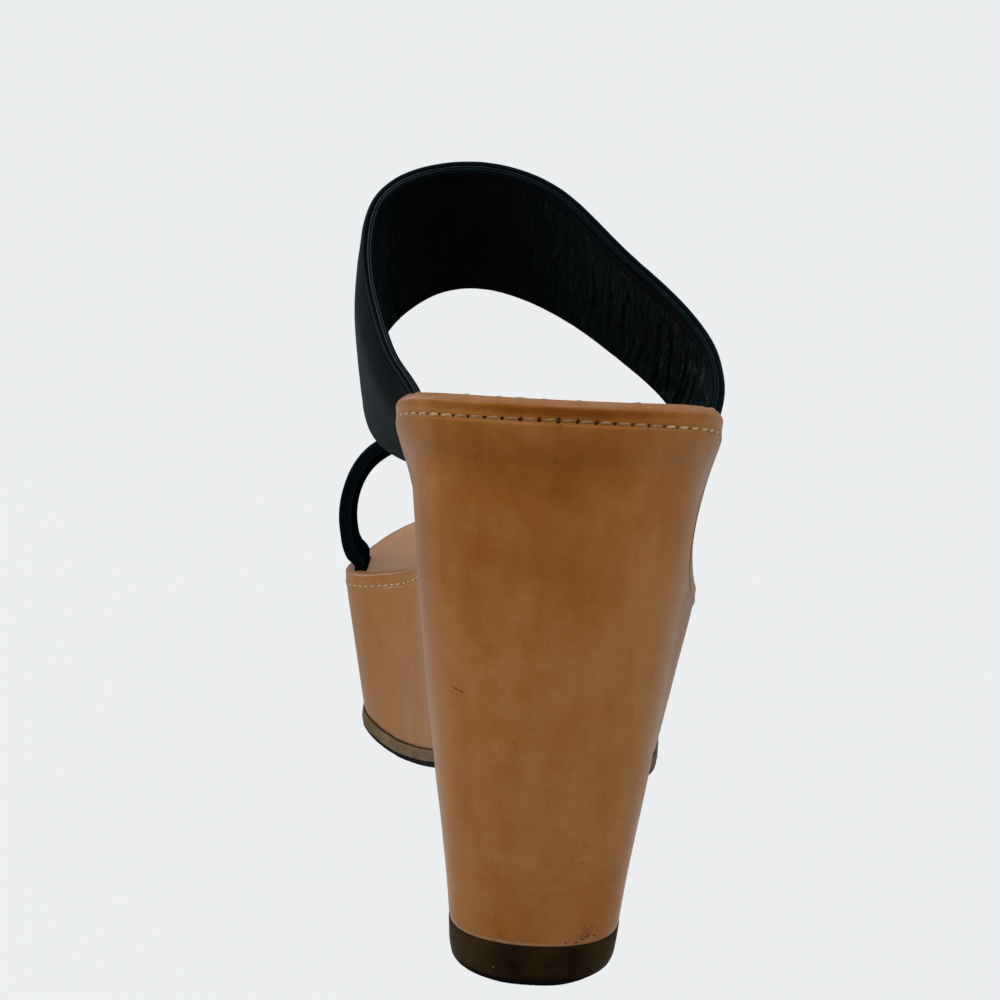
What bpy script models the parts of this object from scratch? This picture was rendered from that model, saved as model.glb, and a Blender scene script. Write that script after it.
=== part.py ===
"""Backless platform wedge sandal for the right foot.

Toe along +Y, the wearer's right (outer) side along +X, floor at Z = 0.
Every table is in millimetres with Y measured forward from the back of the heel rim; the finished
shoe is moved so that the origin is the middle of its bounding box on the floor.
"""
import bpy
import bmesh
import math
import numpy as np

MM = 0.001
GAP = 0.3               # clearance between neighbouring pieces
LENGTH = 228.0          # footbed, heel rim to toe
FOOTBED_T = 5.0         # footbed thickness, square to its surface
INSTEP_T = 2.8          # wall of the wide rear band
FOREFOOT_T = 2.6        # wall of the front band
SOLE_T = 5.0            # rubber under the platform
SOLE_LIP = 0.8          # how far the rubber stands out from the wedge
LIFT_T = 9.5            # top lift under the heel
HEEL_BACK = 8.8         # the heel slants forward by this much at its foot
TOE_BACK = 5.0          # the platform's toe slants back by this much
BREAST = 57.0           # front edge of the heel's foot
SOLE_REAR = 61.5        # rear end of the rubber sole

# footbed outline: y, inner (medial) x, outer (lateral) x
TOP_OUTLINE = (
    (0.0, 0.0, 0.0), (4.0, -16.4, 16.4), (12.0, -26.5, 26.5), (25.0, -33.5, 33.7), (40.0, -34.9, 35.0),
    (60.0, -33.8, 34.4), (85.0, -32.4, 34.0), (105.0, -32.4, 35.2), (122.0, -35.4, 37.2),
    (134.0, -41.0, 38.6), (146.0, -48.8, 39.0), (158.0, -55.7, 39.1), (168.0, -57.9, 38.9),
    (180.0, -56.4, 38.0), (192.0, -53.0, 35.2), (204.0, -48.6, 29.6), (214.0, -42.6, 21.6),
    (222.0, -34.0, 10.0), (228.0, -15.0, -15.0))
# outline at the foot of the wedge: y, inner x, outer x
BASE_OUTLINE = (
    (8.8, 0.0, 0.0), (10.4, -9.4, 9.4), (14.0, -15.0, 15.0), (20.0, -18.2, 18.2), (28.0, -18.9, 18.9),
    (42.0, -19.1, 19.1), (60.0, -19.8, 20.0), (85.0, -22.6, 22.4), (107.0, -27.4, 25.4), (125.0, -34.6, 28.8),
    (141.0, -42.0, 30.8), (150.0, -46.8, 31.4), (160.0, -50.5, 31.8), (172.0, -50.9, 31.4),
    (186.0, -48.6, 28.4), (200.0, -43.4, 22.2), (211.0, -36.0, 13.6), (218.0, -28.0, 3.4),
    (223.0, -14.0, -14.0))
# edge of the footbed's upper face: y, z
TOP_HEIGHT = (
    (0.0, 130.8), (15.0, 128.0), (30.0, 123.4), (45.0, 116.1), (60.0, 106.7), (75.0, 95.4), (90.0, 83.4),
    (105.0, 71.8), (115.0, 65.0), (122.0, 60.7), (132.0, 55.8), (143.0, 51.4), (152.0, 48.2), (160.0, 46.2),
    (168.0, 45.1), (180.0, 44.7), (200.0, 45.4), (215.0, 46.8), (228.0, 48.6))
# hollow of the footbed below its edge: y, depth
CUP = ((0.0, 0.0), (12.0, 1.0), (35.0, 1.8), (90.0, 0.5), (160.0, 0.9), (205.0, 0.4), (228.0, 0.0))
# underside of the rubber sole: y, z
UNDER = (
    (58.0, 14.5), (61.5, 16.6), (68.0, 19.2), (78.0, 20.5), (90.0, 17.6), (107.0, 10.0), (125.0, 3.8), (138.0, 0.7),
    (146.0, 0.0), (190.0, 0.0), (203.0, 1.2), (214.0, 3.6), (223.0, 7.0), (230.0, 10.5))
# how far the wedge's side draws in below its top edge: depth, inset
DRAW = ((0.0, 0.4), (4.0, 1.7), (9.0, 3.6), (20.0, 4.9), (33.0, 6.0), (50.0, 7.9), (68.0, 10.1), (83.0, 12.2),
        (94.0, 14.0), (105.0, 15.8), (125.0, 18.4))
# bands, outer face, inner side to outer side: rear edge x, y, z, front edge x, y, z
INSTEP = (
    (-31.2, 46.0, 116.0, -31.4, 74.0, 97.0),
    (-32.8, 48.0, 120.2, -33.6, 74.6, 97.9),
    (-37.8, 51.4, 127.0, -41.8, 78.0, 101.6),
    (-42.8, 56.7, 137.8, -46.3, 84.6, 109.2),
    (-45.5, 61.3, 150.3, -46.7, 91.5, 120.0),
    (-43.4, 63.9, 161.5, -42.6, 96.3, 128.1),
    (-35.5, 65.0, 167.7, -35.7, 99.2, 134.0),
    (-27.2, 65.3, 169.9, -28.2, 100.6, 137.2),
    (-19.3, 65.4, 170.3, -19.7, 101.1, 137.9),
    (-11.3, 65.1, 169.1, -12.2, 100.8, 136.6),
    (-3.2, 64.7, 166.0, -5.4, 100.1, 134.4),
    (5.1, 63.7, 160.0, 3.0, 98.6, 130.6),
    (13.5, 62.5, 152.6, 11.3, 96.1, 125.7),
    (21.8, 60.8, 146.0, 19.3, 92.7, 120.3),
    (30.1, 58.2, 138.2, 27.2, 88.7, 113.6),
    (34.4, 54.4, 132.0, 31.1, 86.0, 107.7),
    (36.1, 51.0, 125.5, 32.8, 83.6, 102.6),
    (35.2, 48.6, 118.8, 32.8, 80.4, 96.2),
    (33.2, 47.0, 115.6, 32.0, 79.0, 93.3))
FOREFOOT = (
    (-54.4, 157.6, 47.5, -54.9, 180.0, 45.5),
    (-56.7, 157.0, 50.6, -56.9, 180.0, 48.2),
    (-58.3, 157.0, 55.6, -58.4, 180.0, 52.0),
    (-59.1, 157.0, 62.0, -59.0, 180.4, 57.6),
    (-57.8, 158.0, 71.0, -57.4, 181.6, 66.0),
    (-54.2, 159.4, 78.8, -53.4, 183.4, 72.4),
    (-46.0, 161.4, 85.2, -45.0, 185.6, 77.8),
    (-30.0, 163.4, 88.6, -29.0, 187.6, 80.6),
    (-12.0, 164.0, 87.4, -11.6, 188.0, 79.6),
    (6.0, 163.0, 82.6, 5.6, 186.4, 75.4),
    (21.0, 160.6, 73.8, 19.4, 183.0, 67.4),
    (31.6, 157.6, 62.4, 29.0, 178.8, 57.2),
    (35.6, 155.4, 52.8, 32.8, 175.6, 49.0),
    (35.4, 154.8, 48.3, 32.6, 174.6, 45.6))


def spline(xs, ys):
    """Natural cubic through the points."""
    xs, ys = np.asarray(xs, float), np.asarray(ys, float)
    n, h = len(xs), np.diff(xs)
    a, r = np.eye(n), np.zeros(n)
    for i in range(1, n - 1):
        a[i, i - 1:i + 2] = h[i - 1], 2 * (h[i - 1] + h[i]), h[i]
        r[i] = 6 * ((ys[i + 1] - ys[i]) / h[i] - (ys[i] - ys[i - 1]) / h[i - 1])
    m = np.linalg.solve(a, r)

    def f(x):
        x = np.asarray(x, float)
        i = np.clip(np.searchsorted(xs, x) - 1, 0, n - 2)
        p, q = (xs[i + 1] - x) / h[i], (x - xs[i]) / h[i]
        return p * ys[i] + q * ys[i + 1] + ((p ** 3 - p) * m[i] + (q ** 3 - q) * m[i + 1]) * h[i] ** 2 / 6
    return f


def steady(xs, ys):
    """Monotone cubic: never overshoots the rows of its table."""
    xs, ys = np.asarray(xs, float), np.asarray(ys, float)
    h = np.diff(xs)
    d = np.diff(ys) / h
    m = np.r_[d[0], np.zeros(len(d) - 1), d[-1]]
    for i in range(1, len(d)):
        if d[i - 1] * d[i] > 0:
            w1, w2 = 2 * h[i] + h[i - 1], h[i] + 2 * h[i - 1]
            m[i] = (w1 + w2) / (w1 / d[i - 1] + w2 / d[i])

    def f(x):
        x = np.asarray(x, float)
        i = np.clip(np.searchsorted(xs, x) - 1, 0, len(h) - 1)
        t = (x - xs[i]) / h[i]
        return ((2 * t ** 3 - 3 * t ** 2 + 1) * ys[i] + (t ** 3 - 2 * t ** 2 + t) * h[i] * m[i]
                + (3 * t ** 2 - 2 * t ** 3) * ys[i + 1] + (t ** 3 - t ** 2) * h[i] * m[i + 1])
    return f


def table(rows, curve=steady):
    cols = list(zip(*rows))
    fs = [curve(cols[0], c) for c in cols[1:]]
    return fs[0] if len(fs) == 1 else fs


def outline(rows):
    """Inner and outer edge as functions of y, round at both ends."""
    cols = [np.array(c, float) for c in zip(*rows)]
    y0, y1 = cols[0][0], cols[0][-1]

    def turn(y):
        return np.arccos(np.clip(1 - 2 * (np.asarray(y, float) - y0) / (y1 - y0), -1, 1))
    fs = [spline(turn(cols[0]), c) for c in cols[1:]]
    return [lambda y, f=f: f(turn(y)) for f in fs]


top_in, top_out = outline(TOP_OUTLINE)
base_in, base_out = outline(BASE_OUTLINE)
top_z = table(TOP_HEIGHT, spline)
cup = table(CUP)
under = table(UNDER)
draw = table(DRAW)


def thick(y):
    """Upright thickness of the footbed where its face slopes."""
    slope = (top_z(np.asarray(y) + 1) - top_z(np.asarray(y) - 1)) / 2
    return FOOTBED_T * np.sqrt(1 + slope ** 2)


def to_base(y):
    y = np.asarray(y, float)
    back = HEEL_BACK * np.clip(1 - y / 70, 0, 1)
    front = TOE_BACK * np.clip((y - 170) / (LENGTH - 170), 0, 1)
    return y + back - front


def from_base(yb):
    yb = np.asarray(yb, float)
    return np.where(yb < 70, (yb - HEEL_BACK) / (1 - HEEL_BACK / 70), yb)


def stations(count):
    """Sections from heel to toe, close together at the round ends and at the heel's breast."""
    ys = LENGTH / 2 * (1 - np.cos(np.linspace(0, math.pi, count + 1)))
    marks = from_base([BREAST, BREAST + 0.8, BREAST + 3.2, SOLE_REAR, SOLE_REAR + 3])
    keep = [y for y in ys if np.min(np.abs(y - marks)) > 1.6]
    return np.sort(np.r_[keep, marks])


def ring(y, inner, outer, z_in, z_out=None):
    """One closed loop: up the outer side, round the toe and back down the inner side."""
    z_out = z_in if z_out is None else z_out
    a = np.c_[outer, y, z_out]
    b = np.c_[inner, y, z_in]
    return np.vstack([a, b[::-1]])


def inset(loop, d):
    """Move a loop inward in plan by d."""
    p = loop[:, :2]
    keep = np.linalg.norm(p - np.roll(p, 1, 0), axis=1) > 1e-6
    q = p[keep]
    t = np.roll(q, -1, 0) - np.roll(q, 1, 0)
    n = np.c_[t[:, 1], -t[:, 0]] / np.linalg.norm(t, axis=1)[:, None]
    full = np.zeros_like(p)
    full[keep] = n
    for i in np.where(~keep)[0]:
        full[i] = full[i - 1]
    out = loop.copy()
    out[:, :2] -= full * d
    return out


def solid(name, loops, colour, rough):
    """Closed body from a stack of loops, with both ends zipped across from side to side."""
    bm = bmesh.new()
    n = len(loops[0])
    rows = [[bm.verts.new(p * MM) for p in loop] for loop in loops]
    for a, b in zip(rows, rows[1:]):
        for i in range(n):
            j = (i + 1) % n
            bm.faces.new((a[i], a[j], b[j], b[i]))
    for row in (rows[0], rows[-1]):
        for i in range(n // 2 - 1):
            bm.faces.new((row[i], row[i + 1], row[n - 2 - i], row[n - 1 - i]))
    return finish(bm, name, colour, rough)


def finish(bm, name, colour, rough):
    bmesh.ops.remove_doubles(bm, verts=bm.verts, dist=0.00002)
    bmesh.ops.dissolve_degenerate(bm, edges=bm.edges, dist=0.000005)
    bmesh.ops.recalc_face_normals(bm, faces=bm.faces)
    mesh = bpy.data.meshes.new(name)
    bm.to_mesh(mesh)
    bm.free()
    obj = bpy.data.objects.new(name, mesh)
    bpy.context.collection.objects.link(obj)
    if colour:
        mat = bpy.data.materials.new(name)
        mat.use_nodes = True
        bsdf = mat.node_tree.nodes["Principled BSDF"]
        bsdf.inputs["Base Color"].default_value = (*colour, 1)
        bsdf.inputs["Roughness"].default_value = rough
        mesh.materials.append(mat)
    return obj


def make_footbed(ys):
    edge = ring(ys, top_in(ys), top_out(ys), top_z(ys))
    mid = (top_in(ys) + top_out(ys)) / 2
    loops = []
    for r in (0.35, 0.72):
        sink = cup(ys) * (1 - r * r)
        flat = inset(edge, 1.2)
        a, b = flat[:len(ys)], flat[len(ys):][::-1]
        c = (a[:, 0] + b[:, 0]) / 2
        loops.append(ring(a[:, 1], c + (b[:, 0] - c) * r, c + (a[:, 0] - c) * r, a[:, 2] - sink))
    loops.append(inset(edge, 1.2))
    for depth, d in ((0.14, 0.2), (0.45, -0.1), (1.0, 0.4)):
        loop = inset(edge, d)
        loop[:, 2] -= np.r_[thick(ys), thick(ys)[::-1]] * depth
        loops.append(loop)
    return solid("footbed", loops, (0.43, 0.26, 0.16), 0.5)


def drawn(h, tall, y):
    """Share of the way from top edge to base: flared under the heel's rim, straight at the forefoot."""
    fore = np.clip((y - 80) / 45, 0, 1)
    return (1 - fore) * draw(h) / draw(tall) + fore * (0.07 + 0.93 * h / tall)


def wedge_loops(ys, depths):
    yb = to_base(ys)
    top = ring(ys, top_in(ys), top_out(ys), top_z(ys) - thick(ys) - GAP * thick(ys) / FOOTBED_T)
    floor = np.where(yb < BREAST + 0.4, LIFT_T + GAP,
                     np.where(yb < BREAST + 2, LIFT_T + GAP + 6, under(yb) + SOLE_T + GAP))
    base = ring(yb, base_in(yb), base_out(yb), floor)
    tall = top[:, 2] - base[:, 2]
    loops = []
    for v in depths:
        q = drawn(tall * v, tall, top[:, 1])[:, None]
        loop = top + (base - top) * q
        loop[:, 2] = top[:, 2] - tall * v
        loops.append(loop)
    return loops


def make_wedge(ys):
    depths = (0.0, 0.035, 0.08, 0.14, 0.24, 0.4, 0.6, 0.8, 1.0)
    return solid("wedge", wedge_loops(ys, depths), (0.45, 0.25, 0.14), 0.35)


def make_outsole(ys):
    yb = to_base(ys)
    yb = yb[yb > SOLE_REAR - 0.01]
    foot = ring(yb, base_in(yb), base_out(yb), under(yb))
    loops = []
    for up, d in ((SOLE_T, -SOLE_LIP), (1.5, -SOLE_LIP), (0.4, -0.2), (0.0, 0.9)):
        loop = inset(foot, d)
        loop[:, 1] = np.maximum(loop[:, 1], SOLE_REAR)
        loop[:, 2] += up
        loops.append(loop)
    return solid("outsole", loops, (0.16, 0.12, 0.10), 0.7)


def make_lift(ys):
    yb = to_base(ys)
    yb = yb[yb < BREAST + 0.01]
    foot = ring(yb, base_in(yb), base_out(yb), 0 * yb)
    loops = []
    for up, d in ((LIFT_T, 0.0), (1.4, 0.1), (0.3, 0.6), (0.0, 1.4)):
        loop = inset(foot, d)
        loop[:, 2] = up
        loops.append(loop)
    return solid("heel_lift", loops, (0.07, 0.05, 0.045), 0.5)


def band_faces(rows, wall, count, across, swell):
    """Outer and inner face points of a band, with its two ends carried down into the footbed."""
    rows = np.array(rows, float)
    ends = []
    for row in (rows[0], rows[-1]):
        tab = row.copy()
        for k in (0, 3):
            tab[k + 2] = top_z(row[k + 1]) - thick(row[k + 1]) + 1.8
        ends.append(tab)
    rows = np.vstack([ends[0], rows, ends[1]])
    mid = (rows[:, :3] + rows[:, 3:]) / 2
    s = np.r_[0, np.cumsum(np.linalg.norm(np.diff(mid, axis=0), axis=1))]
    u = np.r_[s[0], np.linspace(s[1], s[-2], count), s[-1]]
    lines = np.stack([steady(s, rows[:, k])(u) for k in range(6)], 1)
    v = np.linspace(0, 1, across + 1)
    outer = lines[:, None, :3] * (1 - v)[None, :, None] + lines[:, None, 3:] * v[None, :, None]
    rise = swell * np.clip(np.minimum(u - s[1], s[-2] - u) / 25, 0, 1)

    def normals(p):
        du = np.gradient(p, axis=0)
        du[0], du[-1] = p[1] - p[0], p[-1] - p[-2]
        dv = np.gradient(p, axis=1)
        n = np.cross(dv, du)
        n /= np.linalg.norm(n, axis=2)[:, :, None]
        centre = np.array([-8.0, 0, 60.0])
        side = np.sum(n * (p - centre) * np.array([1, 0, 1]), axis=2)
        return n * np.where(side.mean() < 0, -1, 1)
    outer = outer + normals(outer) * (rise[:, None] * (4 * v * (1 - v))[None, :])[:, :, None]
    n = normals(outer)
    n[0], n[1], n[-1], n[-2] = n[0], n[0], n[-1], n[-1]
    return outer, outer - n * wall


def make_band(name, rows, wall, count, across, swell):
    outer, inner = band_faces(rows, wall, count, across, swell)
    bm = bmesh.new()
    a = [[bm.verts.new(p * MM) for p in line] for line in outer]
    b = [[bm.verts.new(p * MM) for p in line] for line in inner]
    n, m = len(a) - 1, len(a[0]) - 1
    for i in range(n):
        for j in range(m):
            bm.faces.new((a[i][j], a[i + 1][j], a[i + 1][j + 1], a[i][j + 1]))
            bm.faces.new((b[i][j], b[i][j + 1], b[i + 1][j + 1], b[i + 1][j]))
        for j in (0, m):
            bm.faces.new((a[i][j], a[i + 1][j], b[i + 1][j], b[i][j]))
    for i in (0, n):
        for j in range(m):
            bm.faces.new((a[i][j], a[i][j + 1], b[i][j + 1], b[i][j]))
    return finish(bm, name, (0.015, 0.015, 0.016), 0.45)


def make_slits(rows, wall, name):
    """Upright cutters a little larger than the band ends."""
    cutters = []
    for side, row in (("inner", rows[0]), ("outer", rows[-1])):
        a, b = np.array(row[:2], float), np.array(row[3:5], float)
        along = (b - a) / np.linalg.norm(b - a)
        away = np.array([along[1], -along[0]])
        away *= np.sign(away[0] * (a[0] + 8.0)) or 1
        low, high = min(row[2], row[5]) - 14, max(row[2], row[5]) + 10
        corners = [a - along * GAP + away * GAP, b + along * GAP + away * GAP,
                   b + along * GAP - away * (wall + GAP), a - along * GAP - away * (wall + GAP)]
        bm = bmesh.new()
        lo = [bm.verts.new((p[0] * MM, p[1] * MM, low * MM)) for p in corners]
        hi = [bm.verts.new((p[0] * MM, p[1] * MM, high * MM)) for p in corners]
        bm.faces.new(lo)
        bm.faces.new(hi)
        for i in range(4):
            j = (i + 1) % 4
            bm.faces.new((lo[i], lo[j], hi[j], hi[i]))
        cutter = finish(bm, f"slit_{name}_{side}", None, 0)
        cutter.hide_render = True
        cutter.display_type = "WIRE"
        cutters.append(cutter)
    return cutters


def main():
    for obj in list(bpy.data.objects):
        bpy.data.objects.remove(obj, do_unlink=True)
    ys = stations(46)
    footbed = make_footbed(ys)
    pieces = [footbed, make_wedge(ys), make_outsole(ys), make_lift(ys),
              make_band("instep_strap", INSTEP, INSTEP_T, 40, 6, 1.5),
              make_band("forefoot_strap", FOREFOOT, FOREFOOT_T, 40, 4, 0.8)]
    cutters = make_slits(INSTEP, INSTEP_T, "instep") + make_slits(FOREFOOT, FOREFOOT_T, "forefoot")
    for cutter in cutters:
        cut = footbed.modifiers.new(cutter.name, "BOOLEAN")
        cut.operation = "DIFFERENCE"
        cut.solver = "EXACT"
        cut.object = cutter
    points = np.vstack([[v.co[:] for v in p.data.vertices] for p in pieces])
    low, high = points.min(0), points.max(0)
    shift = np.array([-(low[0] + high[0]) / 2, -(low[1] + high[1]) / 2, -low[2]])
    for obj in pieces + cutters:
        for v in obj.data.vertices:
            v.co = np.array(v.co[:]) + shift
    print("shift mm", np.round(shift / MM, 3), "size mm", np.round((high - low) / MM, 2))


main()
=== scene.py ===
"""Looks of the backless platform wedge sandal: smooth tan leather, black leather bands, rubber sole.

All shapes are worked out in millimetres with Y measured forward from the back of the heel rim, then
moved into the row frame.
"""
import bpy
import bmesh
import math
import numpy as np
from mathutils.bvhtree import BVHTree
from mathutils import Matrix, Vector


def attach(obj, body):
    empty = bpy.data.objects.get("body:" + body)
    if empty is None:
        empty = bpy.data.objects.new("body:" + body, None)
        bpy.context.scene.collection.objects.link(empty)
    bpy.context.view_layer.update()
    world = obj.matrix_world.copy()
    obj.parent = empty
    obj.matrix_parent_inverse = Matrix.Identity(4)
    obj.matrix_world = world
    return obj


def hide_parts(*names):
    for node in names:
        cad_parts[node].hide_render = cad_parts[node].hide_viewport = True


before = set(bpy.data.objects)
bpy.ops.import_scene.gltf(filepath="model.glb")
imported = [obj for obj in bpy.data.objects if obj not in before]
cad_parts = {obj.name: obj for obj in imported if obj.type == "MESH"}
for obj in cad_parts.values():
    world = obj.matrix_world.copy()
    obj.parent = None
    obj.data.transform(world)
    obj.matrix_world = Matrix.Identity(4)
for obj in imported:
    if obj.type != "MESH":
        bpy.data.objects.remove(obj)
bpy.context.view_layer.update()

MM = 0.001
SHIFT = np.array([10.160, -114.0, 0.0])      # from heel-based millimetres to the row frame
rng = np.random.default_rng(20)
WORLD_NEAR, WORLD_FAR, WORLD_TOP, WORLD_LOW = 0.05, 0.42, 0.20, 0.50      # brightness of the studio: behind the camera, ahead, overhead, below

# ---------------------------------------------------------------------------- sizes, as in the solids
LENGTH = 228.0
FOOTBED_T = 5.0
INSTEP_T = 2.8
FOREFOOT_T = 3.0
SOLE_T = 5.0
SOLE_LIP = 0.8
LIFT_T = 9.5
HEEL_BACK = 8.8
TOE_BACK = 5.0
BREAST = 57.0
SOLE_REAR = 61.5
GAP = 0.3
SLIT = 0.075

TOP_OUTLINE = (
    (0.0, 0.0, 0.0), (4.0, -16.4, 16.4), (12.0, -26.5, 26.5), (25.0, -33.5, 33.7), (40.0, -34.9, 35.0),
    (60.0, -33.8, 34.4), (85.0, -32.4, 34.0), (105.0, -32.4, 35.2), (122.0, -35.4, 37.2),
    (134.0, -41.0, 38.6), (146.0, -48.8, 39.0), (158.0, -55.7, 39.1), (168.0, -57.9, 38.9),
    (180.0, -56.4, 38.0), (192.0, -53.0, 35.2), (204.0, -48.6, 29.6), (214.0, -42.6, 21.6),
    (222.0, -34.0, 10.0), (228.0, -15.0, -15.0))
BASE_OUTLINE = (
    (8.8, 0.0, 0.0), (10.4, -9.4, 9.4), (14.0, -15.0, 15.0), (20.0, -18.2, 18.2), (28.0, -18.9, 18.9),
    (42.0, -19.1, 19.1), (60.0, -19.8, 20.0), (85.0, -22.6, 22.4), (107.0, -27.4, 25.4), (125.0, -34.6, 28.8),
    (141.0, -42.0, 30.8), (150.0, -46.8, 31.4), (160.0, -50.5, 31.8), (172.0, -50.9, 31.4),
    (186.0, -48.6, 28.4), (200.0, -43.4, 22.2), (211.0, -36.0, 13.6), (218.0, -28.0, 3.4),
    (223.0, -14.0, -14.0))
TOP_HEIGHT = (
    (0.0, 130.8), (15.0, 128.0), (30.0, 123.4), (45.0, 116.1), (60.0, 106.7), (75.0, 95.4), (90.0, 83.4),
    (105.0, 71.8), (115.0, 65.0), (122.0, 60.7), (132.0, 55.8), (143.0, 51.4), (152.0, 48.2), (160.0, 46.2),
    (168.0, 45.1), (180.0, 44.7), (200.0, 45.4), (215.0, 46.8), (228.0, 48.6))
CUP = ((0.0, 0.0), (12.0, 1.0), (35.0, 1.8), (90.0, 0.5), (160.0, 0.9), (205.0, 0.4), (228.0, 0.0))
UNDER = (
    (58.0, 14.5), (61.5, 16.6), (68.0, 19.2), (78.0, 20.5), (90.0, 17.6), (107.0, 10.0), (125.0, 3.8), (138.0, 0.7),
    (146.0, 0.0), (190.0, 0.0), (203.0, 1.2), (214.0, 3.6), (223.0, 7.0), (230.0, 10.5))
DRAW = ((0.0, 0.4), (4.0, 1.7), (9.0, 3.6), (20.0, 4.9), (33.0, 6.0), (50.0, 7.9), (68.0, 10.1), (83.0, 12.2),
        (94.0, 14.0), (105.0, 15.8), (125.0, 18.4))
INSTEP = (
    (-31.2, 46.0, 116.0, -31.4, 74.0, 97.0),
    (-32.8, 48.0, 120.2, -33.6, 74.6, 97.9),
    (-37.8, 51.4, 127.0, -41.8, 78.0, 101.6),
    (-42.8, 56.7, 137.8, -46.3, 84.6, 109.2),
    (-45.5, 61.3, 150.3, -46.7, 91.5, 120.0),
    (-43.4, 63.9, 161.5, -42.6, 96.3, 128.1),
    (-35.5, 65.0, 167.7, -35.7, 99.2, 134.0),
    (-27.2, 65.3, 169.9, -28.2, 100.6, 137.2),
    (-19.3, 65.4, 170.3, -19.7, 101.1, 137.9),
    (-11.3, 65.1, 169.1, -12.2, 100.8, 136.6),
    (-3.2, 64.7, 166.0, -5.4, 100.1, 134.4),
    (5.1, 63.7, 160.0, 3.0, 98.6, 130.6),
    (13.5, 62.5, 152.6, 11.3, 96.1, 125.7),
    (21.8, 60.8, 146.0, 19.3, 92.7, 120.3),
    (30.1, 58.2, 138.2, 27.2, 88.7, 113.6),
    (34.4, 54.4, 132.0, 31.1, 86.0, 107.7),
    (36.1, 51.0, 125.5, 32.8, 83.6, 102.6),
    (35.2, 48.6, 118.8, 32.8, 80.4, 96.2),
    (33.2, 47.0, 115.6, 32.0, 79.0, 93.3))
FOREFOOT = (
    (-54.4, 157.6, 47.5, -54.9, 180.0, 45.5),
    (-56.7, 157.0, 50.6, -56.9, 180.0, 48.2),
    (-58.3, 157.0, 55.6, -58.4, 180.0, 52.0),
    (-59.1, 157.0, 62.0, -59.0, 180.4, 57.6),
    (-57.8, 158.0, 71.0, -57.4, 181.6, 66.0),
    (-54.2, 159.4, 78.8, -53.4, 183.4, 72.4),
    (-46.0, 161.4, 85.2, -45.0, 185.6, 77.8),
    (-30.0, 163.4, 88.6, -29.0, 187.6, 80.6),
    (-12.0, 164.0, 87.4, -11.6, 188.0, 79.6),
    (6.0, 163.0, 82.6, 5.6, 186.4, 75.4),
    (21.0, 160.6, 73.8, 19.4, 183.0, 67.4),
    (31.6, 157.6, 62.4, 29.0, 178.8, 57.2),
    (35.6, 155.4, 52.8, 32.8, 175.6, 49.0),
    (35.4, 154.8, 48.3, 32.6, 174.6, 45.6))

# creases of the instep band's lining, inner side first:
# place along the band at its rear edge and at its front edge, start and end across it (0 rear, 1 front), depth, half width
LINING_CREASES = (
    (6.0, 4.0, 0.10, 0.98, 0.42, 0.8), (10.5, 8.0, 0.15, 1.0, 0.50, 0.9), (15.0, 13.5, 0.12, 0.95, 0.38, 0.7),
    (19.0, 18.0, 0.30, 1.0, 0.52, 0.9), (23.5, 24.0, 0.16, 0.90, 0.34, 0.7), (27.0, 29.0, 0.35, 1.0, 0.46, 0.9),
    (32.0, 33.5, 0.20, 0.95, 0.30, 0.7), (37.0, 38.0, 0.45, 1.0, 0.40, 0.8), (43.0, 43.5, 0.30, 0.92, 0.24, 0.7),
    (49.0, 51.0, 0.50, 1.0, 0.30, 0.8), (56.0, 57.5, 0.35, 0.95, 0.20, 0.7), (63.0, 65.5, 0.55, 1.0, 0.24, 0.8),
    (71.0, 73.0, 0.30, 0.86, 0.16, 0.7), (78.0, 80.5, 0.48, 1.0, 0.20, 0.8), (86.0, 88.0, 0.25, 0.88, 0.18, 0.7),
    (93.0, 95.0, 0.40, 1.0, 0.26, 0.8), (99.0, 101.0, 0.18, 0.80, 0.24, 0.7), (104.0, 107.0, 0.30, 1.0, 0.36, 0.9),
    (109.0, 111.5, 0.14, 0.84, 0.34, 0.8), (113.5, 116.5, 0.24, 1.0, 0.48, 0.9), (118.5, 121.0, 0.16, 0.92, 0.40, 0.8),
    (123.0, 126.0, 0.30, 1.0, 0.55, 1.0), (127.5, 130.0, 0.15, 0.90, 0.42, 0.8), (132.0, 135.5, 0.22, 1.0, 0.58, 1.0),
    (136.5, 139.0, 0.14, 0.95, 0.44, 0.8), (140.5, 143.5, 0.26, 1.0, 0.60, 1.0), (145.0, 147.5, 0.14, 0.94, 0.46, 0.8),
    (149.0, 151.5, 0.20, 1.0, 0.62, 1.0), (153.0, 155.0, 0.14, 0.96, 0.50, 0.8), (156.5, 159.0, 0.22, 1.0, 0.64, 0.9),
    (160.5, 162.0, 0.13, 0.97, 0.52, 0.8), (164.0, 165.5, 0.18, 1.0, 0.64, 0.9), (167.5, 169.0, 0.12, 0.98, 0.50, 0.8),
    (171.0, 172.0, 0.15, 1.0, 0.60, 0.9), (174.5, 175.0, 0.12, 0.98, 0.46, 0.7))
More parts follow.
